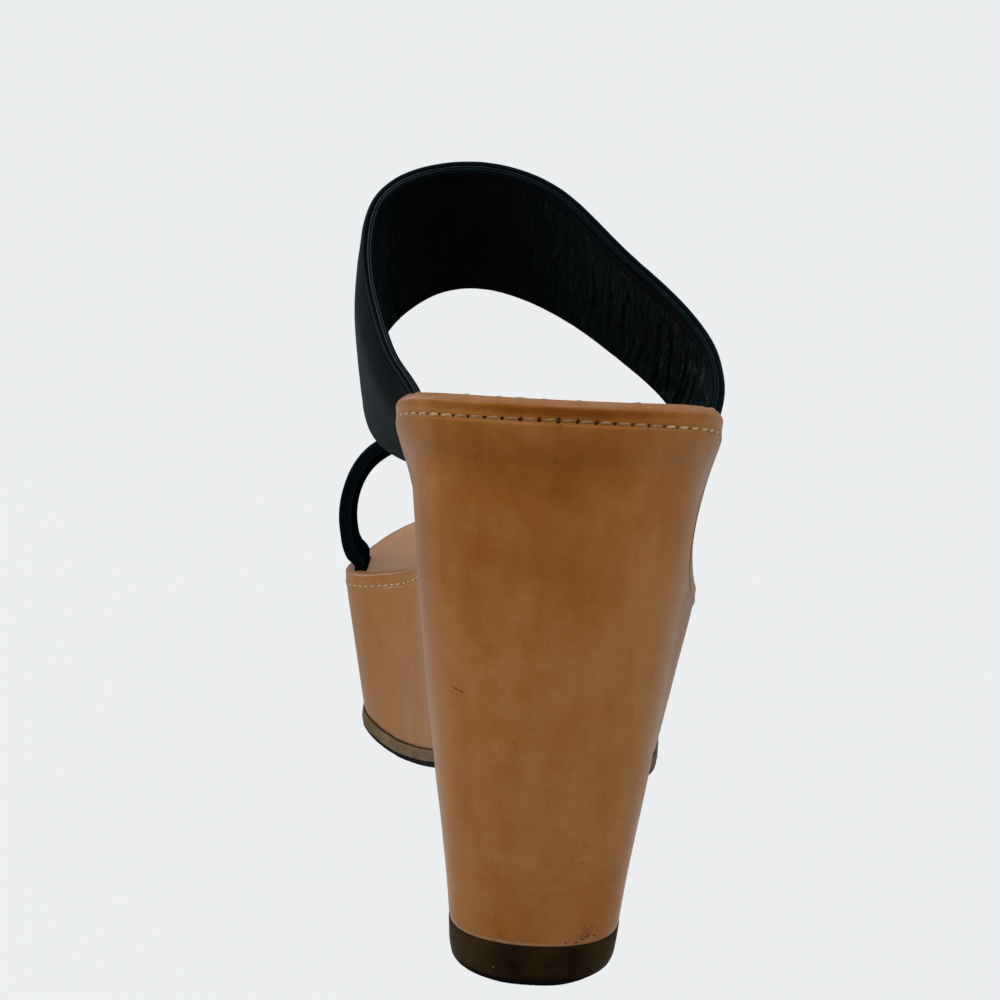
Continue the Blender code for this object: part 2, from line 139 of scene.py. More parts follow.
# soft hollows and swells of the bands' outer faces: place along, place across, depth, size along, size across
INSTEP_SOFT = (
    (16.0, 0.55, -0.5, 9.0, 0.30), (34.0, 0.35, 0.45, 12.0, 0.30), (52.0, 0.70, -0.35, 10.0, 0.25),
    (82.0, 0.50, 0.40, 16.0, 0.40), (112.0, 0.35, -0.40, 10.0, 0.30), (134.0, 0.62, 0.40, 12.0, 0.30),
    (160.0, 0.45, -0.45, 9.0, 0.35))
FOREFOOT_SOFT = (
    (14.0, 0.45, -0.30, 6.0, 0.35), (32.0, 0.60, 0.30, 10.0, 0.35), (70.0, 0.40, 0.30, 14.0, 0.40),
    (104.0, 0.60, -0.30, 10.0, 0.35))
FOREFOOT_CREASES = (
    (5.0, 4.5, 0.14, 0.95, 0.34, 0.7), (9.5, 9.0, 0.20, 1.0, 0.40, 0.8), (14.0, 13.0, 0.15, 0.9, 0.28, 0.7),
    (20.0, 19.5, 0.25, 1.0, 0.30, 0.8), (28.0, 28.5, 0.20, 0.85, 0.22, 0.8), (38.0, 39.0, 0.30, 1.0, 0.20, 0.8),
    (50.0, 51.0, 0.20, 0.9, 0.18, 0.8), (64.0, 65.0, 0.30, 1.0, 0.20, 0.9), (78.0, 79.0, 0.20, 0.9, 0.18, 0.8),
    (92.0, 92.5, 0.25, 1.0, 0.26, 0.8), (102.0, 103.0, 0.18, 0.9, 0.30, 0.8), (110.0, 110.0, 0.2, 1.0, 0.36, 0.8),
    (117.0, 117.0, 0.15, 0.95, 0.36, 0.8))


# ---------------------------------------------------------------------------- curves and tables
def spline(xs, ys):
    xs, ys = np.asarray(xs, float), np.asarray(ys, float)
    n, h = len(xs), np.diff(xs)
    a, r = np.eye(n), np.zeros(n)
    for i in range(1, n - 1):
        a[i, i - 1:i + 2] = h[i - 1], 2 * (h[i - 1] + h[i]), h[i]
        r[i] = 6 * ((ys[i + 1] - ys[i]) / h[i] - (ys[i] - ys[i - 1]) / h[i - 1])
    m = np.linalg.solve(a, r)

    def f(x):
        x = np.asarray(x, float)
        i = np.clip(np.searchsorted(xs, x) - 1, 0, n - 2)
        p, q = (xs[i + 1] - x) / h[i], (x - xs[i]) / h[i]
        return p * ys[i] + q * ys[i + 1] + ((p ** 3 - p) * m[i] + (q ** 3 - q) * m[i + 1]) * h[i] ** 2 / 6
    return f


def steady(xs, ys):
    xs, ys = np.asarray(xs, float), np.asarray(ys, float)
    h = np.diff(xs)
    d = np.diff(ys) / h
    m = np.r_[d[0], np.zeros(len(d) - 1), d[-1]]
    for i in range(1, len(d)):
        if d[i - 1] * d[i] > 0:
            w1, w2 = 2 * h[i] + h[i - 1], h[i] + 2 * h[i - 1]
            m[i] = (w1 + w2) / (w1 / d[i - 1] + w2 / d[i])

    def f(x):
        x = np.asarray(x, float)
        i = np.clip(np.searchsorted(xs, x) - 1, 0, len(h) - 1)
        t = (x - xs[i]) / h[i]
        return ((2 * t ** 3 - 3 * t ** 2 + 1) * ys[i] + (t ** 3 - 2 * t ** 2 + t) * h[i] * m[i]
                + (3 * t ** 2 - 2 * t ** 3) * ys[i + 1] + (t ** 3 - t ** 2) * h[i] * m[i + 1])
    return f


def table(rows, curve=steady):
    cols = list(zip(*rows))
    fs = [curve(cols[0], c) for c in cols[1:]]
    return fs[0] if len(fs) == 1 else fs


def outline(rows):
    cols = [np.array(c, float) for c in zip(*rows)]
    y0, y1 = cols[0][0], cols[0][-1]

    def turn(y):
        return np.arccos(np.clip(1 - 2 * (np.asarray(y, float) - y0) / (y1 - y0), -1, 1))
    fs = [spline(turn(cols[0]), c) for c in cols[1:]]
    return [lambda y, f=f: f(turn(y)) for f in fs]


def ease(lo, hi, x):
    t = np.clip((np.asarray(x, float) - lo) / (hi - lo), 0, 1)
    return t * t * (3 - 2 * t)


def bell(x, w):
    return np.exp(-(np.asarray(x, float) / w) ** 2)


class Lattice:
    """Smooth value noise in two directions, -1 to 1."""
    def __init__(self, seed, size=64):
        self.g = np.random.default_rng(seed).uniform(-1, 1, (size, size))
        self.n = size

    def __call__(self, a, b):
        a, b = np.asarray(a, float), np.asarray(b, float)
        i, j = np.floor(a).astype(int), np.floor(b).astype(int)
        p, q = a - i, b - j
        p, q = p * p * (3 - 2 * p), q * q * (3 - 2 * q)
        g, n = self.g, self.n
        return ((g[i % n, j % n] * (1 - p) + g[(i + 1) % n, j % n] * p) * (1 - q)
                + (g[i % n, (j + 1) % n] * (1 - p) + g[(i + 1) % n, (j + 1) % n] * p) * q)


top_in, top_out = outline(TOP_OUTLINE)
base_in, base_out = outline(BASE_OUTLINE)
top_z = table(TOP_HEIGHT, spline)
cup = table(CUP)
under = table(UNDER)
draw = table(DRAW)


def thick(y):
    slope = (top_z(np.asarray(y) + 1) - top_z(np.asarray(y) - 1)) / 2
    return FOOTBED_T * np.sqrt(1 + slope ** 2)


def to_base(y):
    y = np.asarray(y, float)
    back = HEEL_BACK * np.clip(1 - y / 70, 0, 1)
    front = TOE_BACK * np.clip((y - 170) / (LENGTH - 170), 0, 1)
    return y + back - front


def from_base(yb):
    yb = np.asarray(yb, float)
    return np.where(yb < 70, (yb - HEEL_BACK) / (1 - HEEL_BACK / 70), yb)


def stations(count, marks=()):
    ys = LENGTH / 2 * (1 - np.cos(np.linspace(0, math.pi, count + 1)))
    marks = np.asarray(marks, float)
    if len(marks):
        ys = np.array([y for y in ys if np.min(np.abs(y - marks)) > 0.45])
    return np.sort(np.r_[ys, marks])


# ---------------------------------------------------------------------------- loops and meshes
class Loop:
    """Order of a closed loop: outer side heel to toe, then inner side back, with shared tips."""
    def __init__(self, count, tip0, tip1):
        self.k, self.tip0, self.tip1 = count, tip0, tip1
        out = list(range(count))
        inn = [None] * count
        n = count
        for i in range(count - 1, -1, -1):
            if (i == 0 and tip0) or (i == count - 1 and tip1):
                inn[i] = out[i]
            else:
                inn[i] = n
                n += 1
        self.out, self.inn, self.n = out, inn, n
        self.station = np.zeros(n, int)
        self.side = np.zeros(n)
        for i in range(count):
            self.station[out[i]] = i
            self.side[out[i]] = 1
        for i in range(count):
            if inn[i] != out[i]:
                self.station[inn[i]] = i
                self.side[inn[i]] = -1

    def make(self, y, inner, outer, z):
        p = np.zeros((self.n, 3))
        y, inner, outer = (np.broadcast_to(np.asarray(a, float), (self.k,)) for a in (y, inner, outer))
        z = np.broadcast_to(np.asarray(z, float), (self.k,))
        p[self.inn] = np.c_[inner, y, z]
        p[self.out] = np.c_[outer, y, z]
        return p

    def zip(self, base, flip=False):
        faces = []
        for i in range(self.k - 1):
            f = [self.out[i], self.out[i + 1], self.inn[i + 1], self.inn[i]]
            f = [v for j, v in enumerate(f) if v not in f[:j]]
            faces.append([v + base for v in (f[::-1] if flip else f)])
        return faces


def normals_of(loop):
    p = loop[:, :2]
    t = np.roll(p, -1, 0) - np.roll(p, 1, 0)
    n = np.c_[t[:, 1], -t[:, 0]]
    return n / np.maximum(np.linalg.norm(n, axis=1), 1e-9)[:, None]


def inset(loop, d):
    out = loop.copy()
    out[:, :2] -= normals_of(loop) * np.reshape(d, (-1, 1))
    return out


def stack_faces(count, n):
    i, k = np.meshgrid(np.arange(n), np.arange(count - 1))
    j = (i + 1) % n
    return np.stack([k * n + i, k * n + j, (k + 1) * n + j, (k + 1) * n + i], -1).reshape(-1, 4).tolist()


def piece(name, verts, faces, material, attrs=None, node=None):
    mesh = bpy.data.meshes.new(name)
    mesh.from_pydata(((np.asarray(verts) + SHIFT) * MM).tolist(), [], faces)
    mesh.validate()
    for key, values in (attrs or {}).items():
        layer = mesh.attributes.new(key, "FLOAT", "POINT")
        layer.data.foreach_set("value", np.asarray(values, np.float32).ravel())
    bm = bmesh.new()
    bm.from_mesh(mesh)
    bmesh.ops.recalc_face_normals(bm, faces=bm.faces)
    bm.to_mesh(mesh)
    bm.free()
    mesh.shade_smooth()
    mesh.materials.append(material)
    obj = bpy.data.objects.new(name, mesh)
    bpy.context.scene.collection.objects.link(obj)
    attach(obj, "root")
    if node:
        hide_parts(node)
    return obj


def second(obj, values, material, above=0.5):
    """Give the faces whose corners' mean value is high another material."""
    obj.data.materials.append(material)
    values = np.asarray(values)
    for f in obj.data.polygons:
        if np.mean(values[list(f.vertices)]) > above:
            f.material_index = 1


# ---------------------------------------------------------------------------- materials
class Nodes:
    def __init__(self, name):
        self.mat = bpy.data.materials.new(name)
        self.mat.use_nodes = True
        self.tree = self.mat.node_tree
        self.bsdf = self.tree.nodes["Principled BSDF"]
        self.coord = self.tree.nodes.new("ShaderNodeTexCoord").outputs["Object"]

    def put(self, sock, value):
        if isinstance(value, bpy.types.NodeSocket):
            self.tree.links.new(value, sock)
        else:
            sock.default_value = value

    def scaled(self, sx, sy, sz, turn=(0, 0, 0)):
        n = self.tree.nodes.new("ShaderNodeMapping")
        n.inputs["Scale"].default_value = (sx, sy, sz)
        n.inputs["Rotation"].default_value = turn
        self.put(n.inputs["Vector"], self.coord)
        return n.outputs[0]

    def noise(self, scale, detail=3.0, rough=0.5, vec=None, twist=0.0):
        n = self.tree.nodes.new("ShaderNodeTexNoise")
        n.inputs["Scale"].default_value = scale
        n.inputs["Detail"].default_value = detail
        n.inputs["Roughness"].default_value = rough
        n.inputs["Distortion"].default_value = twist
        self.put(n.inputs["Vector"], self.coord if vec is None else vec)
        return n.outputs["Fac"]

    def cells(self, scale, feature="F1", vec=None, out="Distance"):
        n = self.tree.nodes.new("ShaderNodeTexVoronoi")
        n.feature = feature
        n.inputs["Scale"].default_value = scale
        self.put(n.inputs["Vector"], self.coord if vec is None else vec)
        return n.outputs[out]

    def attr(self, name):
        n = self.tree.nodes.new("ShaderNodeAttribute")
        n.attribute_name = name
        return n.outputs["Fac"]

    def ramp(self, fac, *stops):
        n = self.tree.nodes.new("ShaderNodeValToRGB")
        ramp = n.color_ramp
        while len(ramp.elements) < len(stops):
            ramp.elements.new(0.5)
        for e, (pos, col) in zip(ramp.elements, stops):
            e.position = pos
            e.color = (*col, 1) if isinstance(col, tuple) else (col, col, col, 1)
        self.put(n.inputs[0], fac)
        return n.outputs[0]

    def mix(self, fac, a, b, kind="MIX"):
        n = self.tree.nodes.new("ShaderNodeMix")
        n.data_type = "RGBA"
        n.blend_type = kind
        for key, v in (("Factor_Float", fac), ("A_Color", a), ("B_Color", b)):
            sock = next(s for s in n.inputs if s.identifier == key)
            self.put(sock, (*v, 1) if isinstance(v, tuple) and len(v) == 3 else v)
        return next(s for s in n.outputs if s.identifier == "Result_Color")

    def math(self, op, a, b=0.0, clamp=False):
        n = self.tree.nodes.new("ShaderNodeMath")
        n.operation = op
        n.use_clamp = clamp
        self.put(n.inputs[0], a)
        self.put(n.inputs[1], b)
        return n.outputs[0]

    def spread(self, x, lo, hi, a=0.0, b=1.0):
        n = self.tree.nodes.new("ShaderNodeMapRange")
        n.interpolation_type = "SMOOTHSTEP"
        for key, v in (("Value", x), ("From Min", lo), ("From Max", hi), ("To Min", a), ("To Max", b)):
            self.put(n.inputs[key], v)
        return n.outputs[0]

    def axis(self, which):
        n = self.tree.nodes.new("ShaderNodeSeparateXYZ")
        self.put(n.inputs[0], self.coord)
        return n.outputs["XYZ".index(which)]

    def bump(self, height, strength, distance, normal=None):
        n = self.tree.nodes.new("ShaderNodeBump")
        n.inputs["Strength"].default_value = strength
        n.inputs["Distance"].default_value = distance
        self.put(n.inputs["Height"], height)
        if normal is not None:
            self.put(n.inputs["Normal"], normal)
        return n.outputs[0]

    def done(self, **sockets):
        for key, v in sockets.items():
            self.put(self.bsdf.inputs[key.replace("_", " ")], v)
        return self.mat


def tan_leather(name, dark, mid, pale, worn, ruddy, shine, gloss):
    """Smooth vegetable-tanned leather: mottled patina, streaks, pores, pale worn edges."""
    n = Nodes(name)
    tall = n.scaled(1, 1, 0.55)
    patina = n.noise(46, 5, 0.58, tall, 0.6)
    blotch = n.noise(150, 6, 0.62)
    speck = n.noise(620, 4, 0.6)
    streak = n.noise(240, 4, 0.6, n.scaled(1, 1, 0.06))
    level = n.noise(210, 5, 0.62, n.scaled(0.35, 0.35, 1.6))
    tone = n.math("ADD", n.math("MULTIPLY", patina, 0.42), n.math("MULTIPLY", blotch, 0.34))
    tone = n.math("ADD", tone, n.math("MULTIPLY", streak, 0.14))
    tone = n.math("ADD", tone, n.math("MULTIPLY", level, 0.10))
    tone = n.math("ADD", n.math("MULTIPLY", tone, 0.84), 0.08)
    # the tone attribute also carries painted shade and painted light: the darker centre and lighter right side of the
    # heel back, and the darker back of the footbed's side
    tone = n.math("ADD", tone, n.math("MULTIPLY", n.math("SUBTRACT", n.attr("tone"), 0.5), 0.40))
    colour = n.ramp(tone, (0.32, dark), (0.50, mid), (0.68, pale))
    warm = n.noise(34, 4, 0.6, n.scaled(1.4, 1.4, 0.5))
    colour = n.mix(n.spread(warm, 0.47, 0.66, 0.0, 0.38), colour, ruddy)
    fleck = n.spread(speck, 0.26, 0.38, 0.30, 0.0)
    colour = n.mix(fleck, colour, dark)
    # darkened with painted shade where the attribute marks joints, a crease and the stitch groove
    colour = n.mix(n.attr("painted_shade"), colour, (0.045, 0.022, 0.010))
    ragged = n.math("ADD", n.attr("edge"), n.math("MULTIPLY", n.math("SUBTRACT", blotch, 0.5), 0.6))
    ragged = n.math("ADD", ragged, n.math("MULTIPLY", n.math("SUBTRACT", speck, 0.5), 0.6))
    colour = n.mix(n.spread(ragged, 0.35, 0.85), colour, worn)
    colour = n.mix(n.math("MULTIPLY", n.attr("pale"), n.spread(speck, 0.36, 0.54, 0.35, 1.0)), colour, (0.47, 0.27, 0.155))
    pores = n.cells(1150)
    grain = n.noise(1900, 4, 0.6)
    colour = n.mix(n.spread(grain, 0.35, 0.62, 0.16, 0.0), colour, dark)
    wave = n.noise(75, 3, 0.5)
    b = n.bump(wave, 0.16, 0.0012)
    b = n.bump(grain, 0.10, 0.0001, b)
    b = n.bump(n.spread(pores, 0.0, 0.25), 0.05, 0.00008, b)
    rough = n.math("ADD", n.math("MULTIPLY", blotch, 0.16), shine)
    return n.done(Base_Color=colour, Roughness=rough, Normal=b, Specular_IOR_Level=gloss,
                  Coat_Weight=0.0)


def black_leather(name, creased, gloss):
    """Black leather with a fine grain; the lining is duller and finely wrinkled across the band."""
    n = Nodes(name)
    blotch = n.noise(120, 5, 0.6)
    fine = n.noise(900, 4, 0.6)
    if creased:
        panel = n.ramp(blotch, (0.35, (0.0026, 0.0115, 0.0135)), (0.65, (0.0046, 0.0180, 0.0200)))
        # painted shade: the lining goes near black at the crown and edges, where the attribute is low, and to a lighter
        # panel elsewhere
        colour = n.mix(n.attr("crinkle_and_shade"), (0.0002, 0.0016, 0.0028), panel)
    else:
        colour = n.ramp(blotch, (0.35, (0.0009, 0.0028, 0.0040)), (0.65, (0.0018, 0.0046, 0.0062)))
    # painted sheen and painted highlights from the attribute: grey-green on the outer face, light lines on the edges
    # and fold crests
    painted_sheen = n.math("MULTIPLY", n.attr("painted_sheen"), n.spread(fine, 0.32, 0.68, 0.78, 1.0))
    colour = n.mix(painted_sheen, colour, (0.049, 0.070, 0.071))
    grain = n.cells(1250, "DISTANCE_TO_EDGE")
    b = n.bump(n.noise(160, 4, 0.55), 0.12, 0.0008)
    if creased:
        place = n.tree.nodes.new("ShaderNodeCombineXYZ")
        n.put(place.inputs[0], n.attr("along"))
        n.put(place.inputs[1], n.math("MULTIPLY", n.attr("over"), 0.10))
        wide = n.noise(0.34, 3, 0.55, place.outputs[0], 0.5)
        fine2 = n.noise(0.66, 3, 0.6, place.outputs[0], 0.8)
        one = n.math("ABSOLUTE", n.math("SUBTRACT", wide, 0.5))
        two = n.math("ABSOLUTE", n.math("SUBTRACT", fine2, 0.5))
        lines = n.math("MULTIPLY", n.spread(one, 0.0, 0.055), n.spread(two, 0.0, 0.045, 0.35, 1.0))
        fold = n.math("MULTIPLY", lines, n.attr("crinkle_and_shade"))
        b = n.bump(fold, 0.9, 0.00030, b)
        # painted shade: thin dark lines in the lining's creases
        deep = n.math("ADD", n.spread(one, 0.004, 0.030, 0.85, 0.0), n.math("MULTIPLY", n.spread(two, 0.006, 0.050, 0.9, 0.0), n.attr("ends")), True)
        colour = n.mix(n.math("MULTIPLY", deep, n.attr("crinkle_and_shade")), colour, (0.0005, 0.0008, 0.0009))
        patch = n.spread(n.noise(140, 4, 0.6), 0.43, 0.60)
        near = n.math("ABSOLUTE", n.math("SUBTRACT", wide, 0.545))
        near2 = n.math("ABSOLUTE", n.math("SUBTRACT", fine2, 0.57))
        glint = n.math("ADD", n.spread(near, 0.0, 0.016, 0.6, 0.0), n.math("MULTIPLY", n.spread(near2, 0.0, 0.024, 0.7, 0.0), n.attr("ends")), True)
        glint = n.math("MULTIPLY", n.math("MULTIPLY", glint, patch), n.attr("crinkle_and_shade"))
        colour = n.mix(glint, colour, (0.058, 0.076, 0.077))
    b = n.bump(n.spread(grain, 0.0, 0.16), 0.25, 0.00008, b)
    b = n.bump(fine, 0.20, 0.00010, b)
    rough = n.math("ADD", n.math("MULTIPLY", blotch, 0.18), 0.34 if creased else 0.40)
    return n.done(Base_Color=colour, Roughness=rough, Normal=b, Specular_IOR_Level=gloss,
                  Specular_Tint=(0.55, 0.92, 1.0, 1.0))


def rubber(name, body, scuff_and_sheen, under, shine, gloss, scuff):
    n = Nodes(name)
    blotch = n.noise(130, 5, 0.62)
    streak = n.noise(300, 5, 0.65, n.scaled(0.5, 0.5, 2.2))
    colour = n.mix(n.math("MULTIPLY", n.spread(blotch, 0.40, 0.72), scuff), body, scuff_and_sheen)
    colour = n.mix(n.math("MULTIPLY", n.spread(streak, 0.56, 0.74), scuff * 0.8), colour, scuff_and_sheen)
    edge = n.math("ADD", n.attr("low"), n.math("MULTIPLY", n.math("SUBTRACT", streak, 0.5), 0.5))
    colour = n.mix(n.spread(edge, 0.42, 0.58), colour, under)
    # lightened where the attribute marks a painted reflection on the lift's rear corners; the same colour also serves
    # for the scuffs above
    colour = n.mix(n.attr("scuff_and_sheen"), colour, scuff_and_sheen)
    # darkened with painted shade where the attribute marks the joints with the wedge
    colour = n.mix(n.attr("painted_shade"), colour, (0.008, 0.006, 0.005))
    b = n.bump(n.noise(420, 5, 0.62), 0.20, 0.0004)
    b = n.bump(n.noise(2200, 3, 0.6), 0.25, 0.0001, b)
    rough = n.math("ADD", n.math("MULTIPLY", blotch, 0.25), shine)
    return n.done(Base_Color=colour, Roughness=rough, Normal=b, Specular_IOR_Level=gloss)


def thread_material(name, lo, hi):
    n = Nodes(name)
    tone = n.noise(900, 4, 0.6)
    colour = n.ramp(tone, (0.35, lo), (0.62, hi))
    b = n.bump(n.noise(2600, 3, 0.6), 0.35, 0.0002)
    return n.done(Base_Color=colour, Roughness=0.62, Normal=b, Specular_IOR_Level=0.1)


def dark_material(name, lo, hi):
    n = Nodes(name)
    colour = n.ramp(n.noise(1400, 3, 0.6), (0.35, lo), (0.65, hi))
    b = n.bump(n.noise(2400, 3, 0.6), 0.3, 0.0001)
    return n.done(Base_Color=colour, Roughness=0.8, Normal=b, Specular_IOR_Level=0.05)


TAN = tan_leather("tan_leather_cover", (0.180, 0.052, 0.006), (0.278, 0.099, 0.018), (0.352, 0.158, 0.050),
                  (0.215, 0.100, 0.042), (0.275, 0.086, 0.020), 0.23, 0.10)
BED = tan_leather("tan_leather_footbed", (0.260, 0.122, 0.050), (0.340, 0.168, 0.076), (0.405, 0.215, 0.110),
                  (0.30, 0.150, 0.072), (0.330, 0.150, 0.064), 0.30, 0.22)
BLACK = black_leather("black_leather", False, 0.016)
LINING = black_leather("black_lining", True, 0.007)
DULL = black_leather("dull_lining", True, 0.0)
SOLE = rubber("brown_sole_rubber", (0.104, 0.066, 0.030), (0.185, 0.128, 0.072), (0.003, 0.003, 0.003), 0.48, 0.08, 0.8)
LIFT = rubber("dark_lift_rubber", (0.0070, 0.0035, 0.0011), (0.045, 0.028, 0.012), (0.0018, 0.0018, 0.0016), 0.30, 0.010, 0.35)
TREAD = dark_material("black_tread", (0.0012, 0.0012, 0.0012), (0.0030, 0.0030, 0.0028))
# the same thread in two shades: the darker one, at the back centre, is painted shade, and the paler one elsewhere is
# painted light
THREAD = thread_material("waxed_thread", (0.205, 0.120, 0.056), (0.315, 0.195, 0.100))
PALE = thread_material("pale_thread", (0.33, 0.215, 0.115), (0.47, 0.33, 0.195))
# dark discs painted on as the shade in the stitch holes
HOLE = dark_material("stitch_hole", (0.030, 0.011, 0.004), (0.058, 0.023, 0.009))
SCUFF = dark_material("scuff", (0.045, 0.015, 0.005), (0.105, 0.040, 0.014))
BARE = dark_material("bare_leather", (0.22, 0.115, 0.060), (0.33, 0.200, 0.120))
FAINT = dark_material("faint_mark", (0.205, 0.076, 0.021), (0.262, 0.104, 0.034))


# ---------------------------------------------------------------------------- footbed
def make_footbed():
    ys = stations(190)
    lp = Loop(len(ys), True, True)
    edge = lp.make(ys, top_in(ys), top_out(ys), top_z(ys))
    t = thick(ys)[lp.station]
    y = ys[lp.station]
    rough = Lattice(3)
    arc = np.r_[0, np.cumsum(np.linalg.norm(np.diff(edge, axis=0), axis=1))]
    nick = np.zeros(lp.n)
    near = 2.6 * bell(y - 33, 12) * (lp.side > 0) + 3.2 * ease(40, 15, y) + 0.3
    nick = near * (0.07 * rough(arc / 1.5, 0 * arc) + 0.07 * rough(arc / 0.6, 0 * arc + 7))
    loops, worn, tone = [], [], []
    flat = inset(edge, 2.0)
    a, b = flat[lp.out], flat[lp.inn]
    c = (a[:, 0] + b[:, 0]) / 2
    for r in np.linspace(0.03, 1.0, 22):
        sink = cup(ys) * (1 - r * r)
        inner = lp.make(a[:, 1], c + (b[:, 0] - c) * r, c + (a[:, 0] - c) * r, a[:, 2] - sink)
        inner[lp.inn, 1] = b[:, 1]
        inner[lp.out, 1] = a[:, 1]
        loops.append(inner)
        worn.append(np.full(lp.n, 0.55 * ease(0.93, 1.0, r)))
        tone.append(np.full(lp.n, 0.6))
    for depth, d, w in ((0.012, 1.55, 0.8), (0.045, 1.15, 0.95), (0.095, 0.72, 0.95), (0.145, 0.40, 0.90), (0.19, 0.20, 0.65), (0.235, 0.11, 0.25),
                        (0.29, 0.11, 0.05), (0.38, 0.17, 0.0), (0.50, 0.24, 0.0), (0.62, 0.24, 0.0), (0.72, 0.20, 0.0), (0.78, 0.30, 0.0),
                        (0.83, 0.32, 0.0), (0.88, 0.22, 0.05), (0.94, 0.26, 0.0), (0.985, 0.34, 0.0), (1.0, 0.55, 0.0)):
        loop = inset(edge, d - nick * (1 - ease(0.0, 0.3, depth)) * 0.5)
        loop[:, 2] -= t * depth - nick * (1 - ease(0.0, 0.25, depth))
        loops.append(loop)
        worn.append(np.full(lp.n, w))
        tone.append(np.full(lp.n, 0.85))
    verts = np.vstack(loops)
    faces = stack_faces(len(loops), lp.n) + lp.zip(0) + lp.zip((len(loops) - 1) * lp.n, True)
    worn, tone = np.concatenate(worn), np.concatenate(tone)
    # painted shade: at the back centre the footbed's side is darkened, most of all in a painted shadow band under the
    # rim's lip at mid depth
    back = bell(verts[:, 0], 20) * ease(50, 4, verts[:, 1])
    depth = (top_z(verts[:, 1]) - verts[:, 2]) / np.maximum(thick(verts[:, 1]), 1)
    tone = np.clip(tone - back * 0.80 * bell(depth - 0.45, 0.22) - back * 0.22, 0, 1)
    # painted shade: a thin dark line along the stitch groove
    painted_shade = 0.10 * bell(depth - 0.80, 0.04)
    obj = piece("footbed_leather", verts, faces, TAN, {"edge": worn, "tone": tone, "painted_shade": painted_shade}, "footbed")
    obj.data.materials.append(BED)
    for f in obj.data.polygons:
        f.material_index = 1 if f.normal.z > 0.3 and max(f.vertices) < 22 * lp.n else 0
    for rows, wall in ((INSTEP, INSTEP_T), (FOREFOOT, FOREFOOT_T)):
        for row in (rows[0], rows[-1]):
            p, q = np.array(row[:2], float), np.array(row[3:5], float)
            along = (q - p) / np.linalg.norm(q - p)
            away = np.array([along[1], -along[0]])
            away *= np.sign(away[0] * (p[0] + 8.0)) or 1
            low, high = min(row[2], row[5]) - 14, max(row[2], row[5]) + 10
            corners = [p - along * SLIT + away * SLIT, q + along * SLIT + away * SLIT,
                       q + along * SLIT - away * (wall + SLIT), p - along * SLIT - away * (wall + SLIT)]
            box = [(*k, low) for k in corners] + [(*k, high) for k in corners]
            quads = [(3, 2, 1, 0), (4, 5, 6, 7)] + [(i, (i + 1) % 4, (i + 1) % 4 + 4, i + 4) for i in range(4)]
            mesh = bpy.data.meshes.new("slit")
            mesh.from_pydata(((np.array(box) + SHIFT) * MM).tolist(), [], quads)
            bm = bmesh.new()
            bm.from_mesh(mesh)
            bmesh.ops.recalc_face_normals(bm, faces=bm.faces)
            bm.to_mesh(mesh)
            bm.free()
            cutter = bpy.data.objects.new("slit", mesh)
            bpy.context.scene.collection.objects.link(cutter)
            cut = obj.modifiers.new("slit", "BOOLEAN")
            cut.operation, cut.solver, cut.object = "DIFFERENCE", "EXACT", cutter
            dg = bpy.context.evaluated_depsgraph_get()
            done = bpy.data.meshes.new_from_object(obj.evaluated_get(dg))
            obj.modifiers.clear()
            old = obj.data
            obj.data = done
            bpy.data.meshes.remove(old)
            bpy.data.objects.remove(cutter)
            bpy.data.meshes.remove(mesh)
    obj.data.name = "footbed_leather"
    obj.data.set_sharp_from_angle(angle=math.radians(48))
    return obj


# ---------------------------------------------------------------------------- wedge
def drawn(h, tall, y):
    """Share of the way from top edge to base: flared under the heel's rim, straight at the forefoot."""
    fore = np.clip((y - 80) / 45, 0, 1)
    return (1 - fore) * draw(h) / draw(tall) + fore * (0.07 + 0.93 * h / tall)


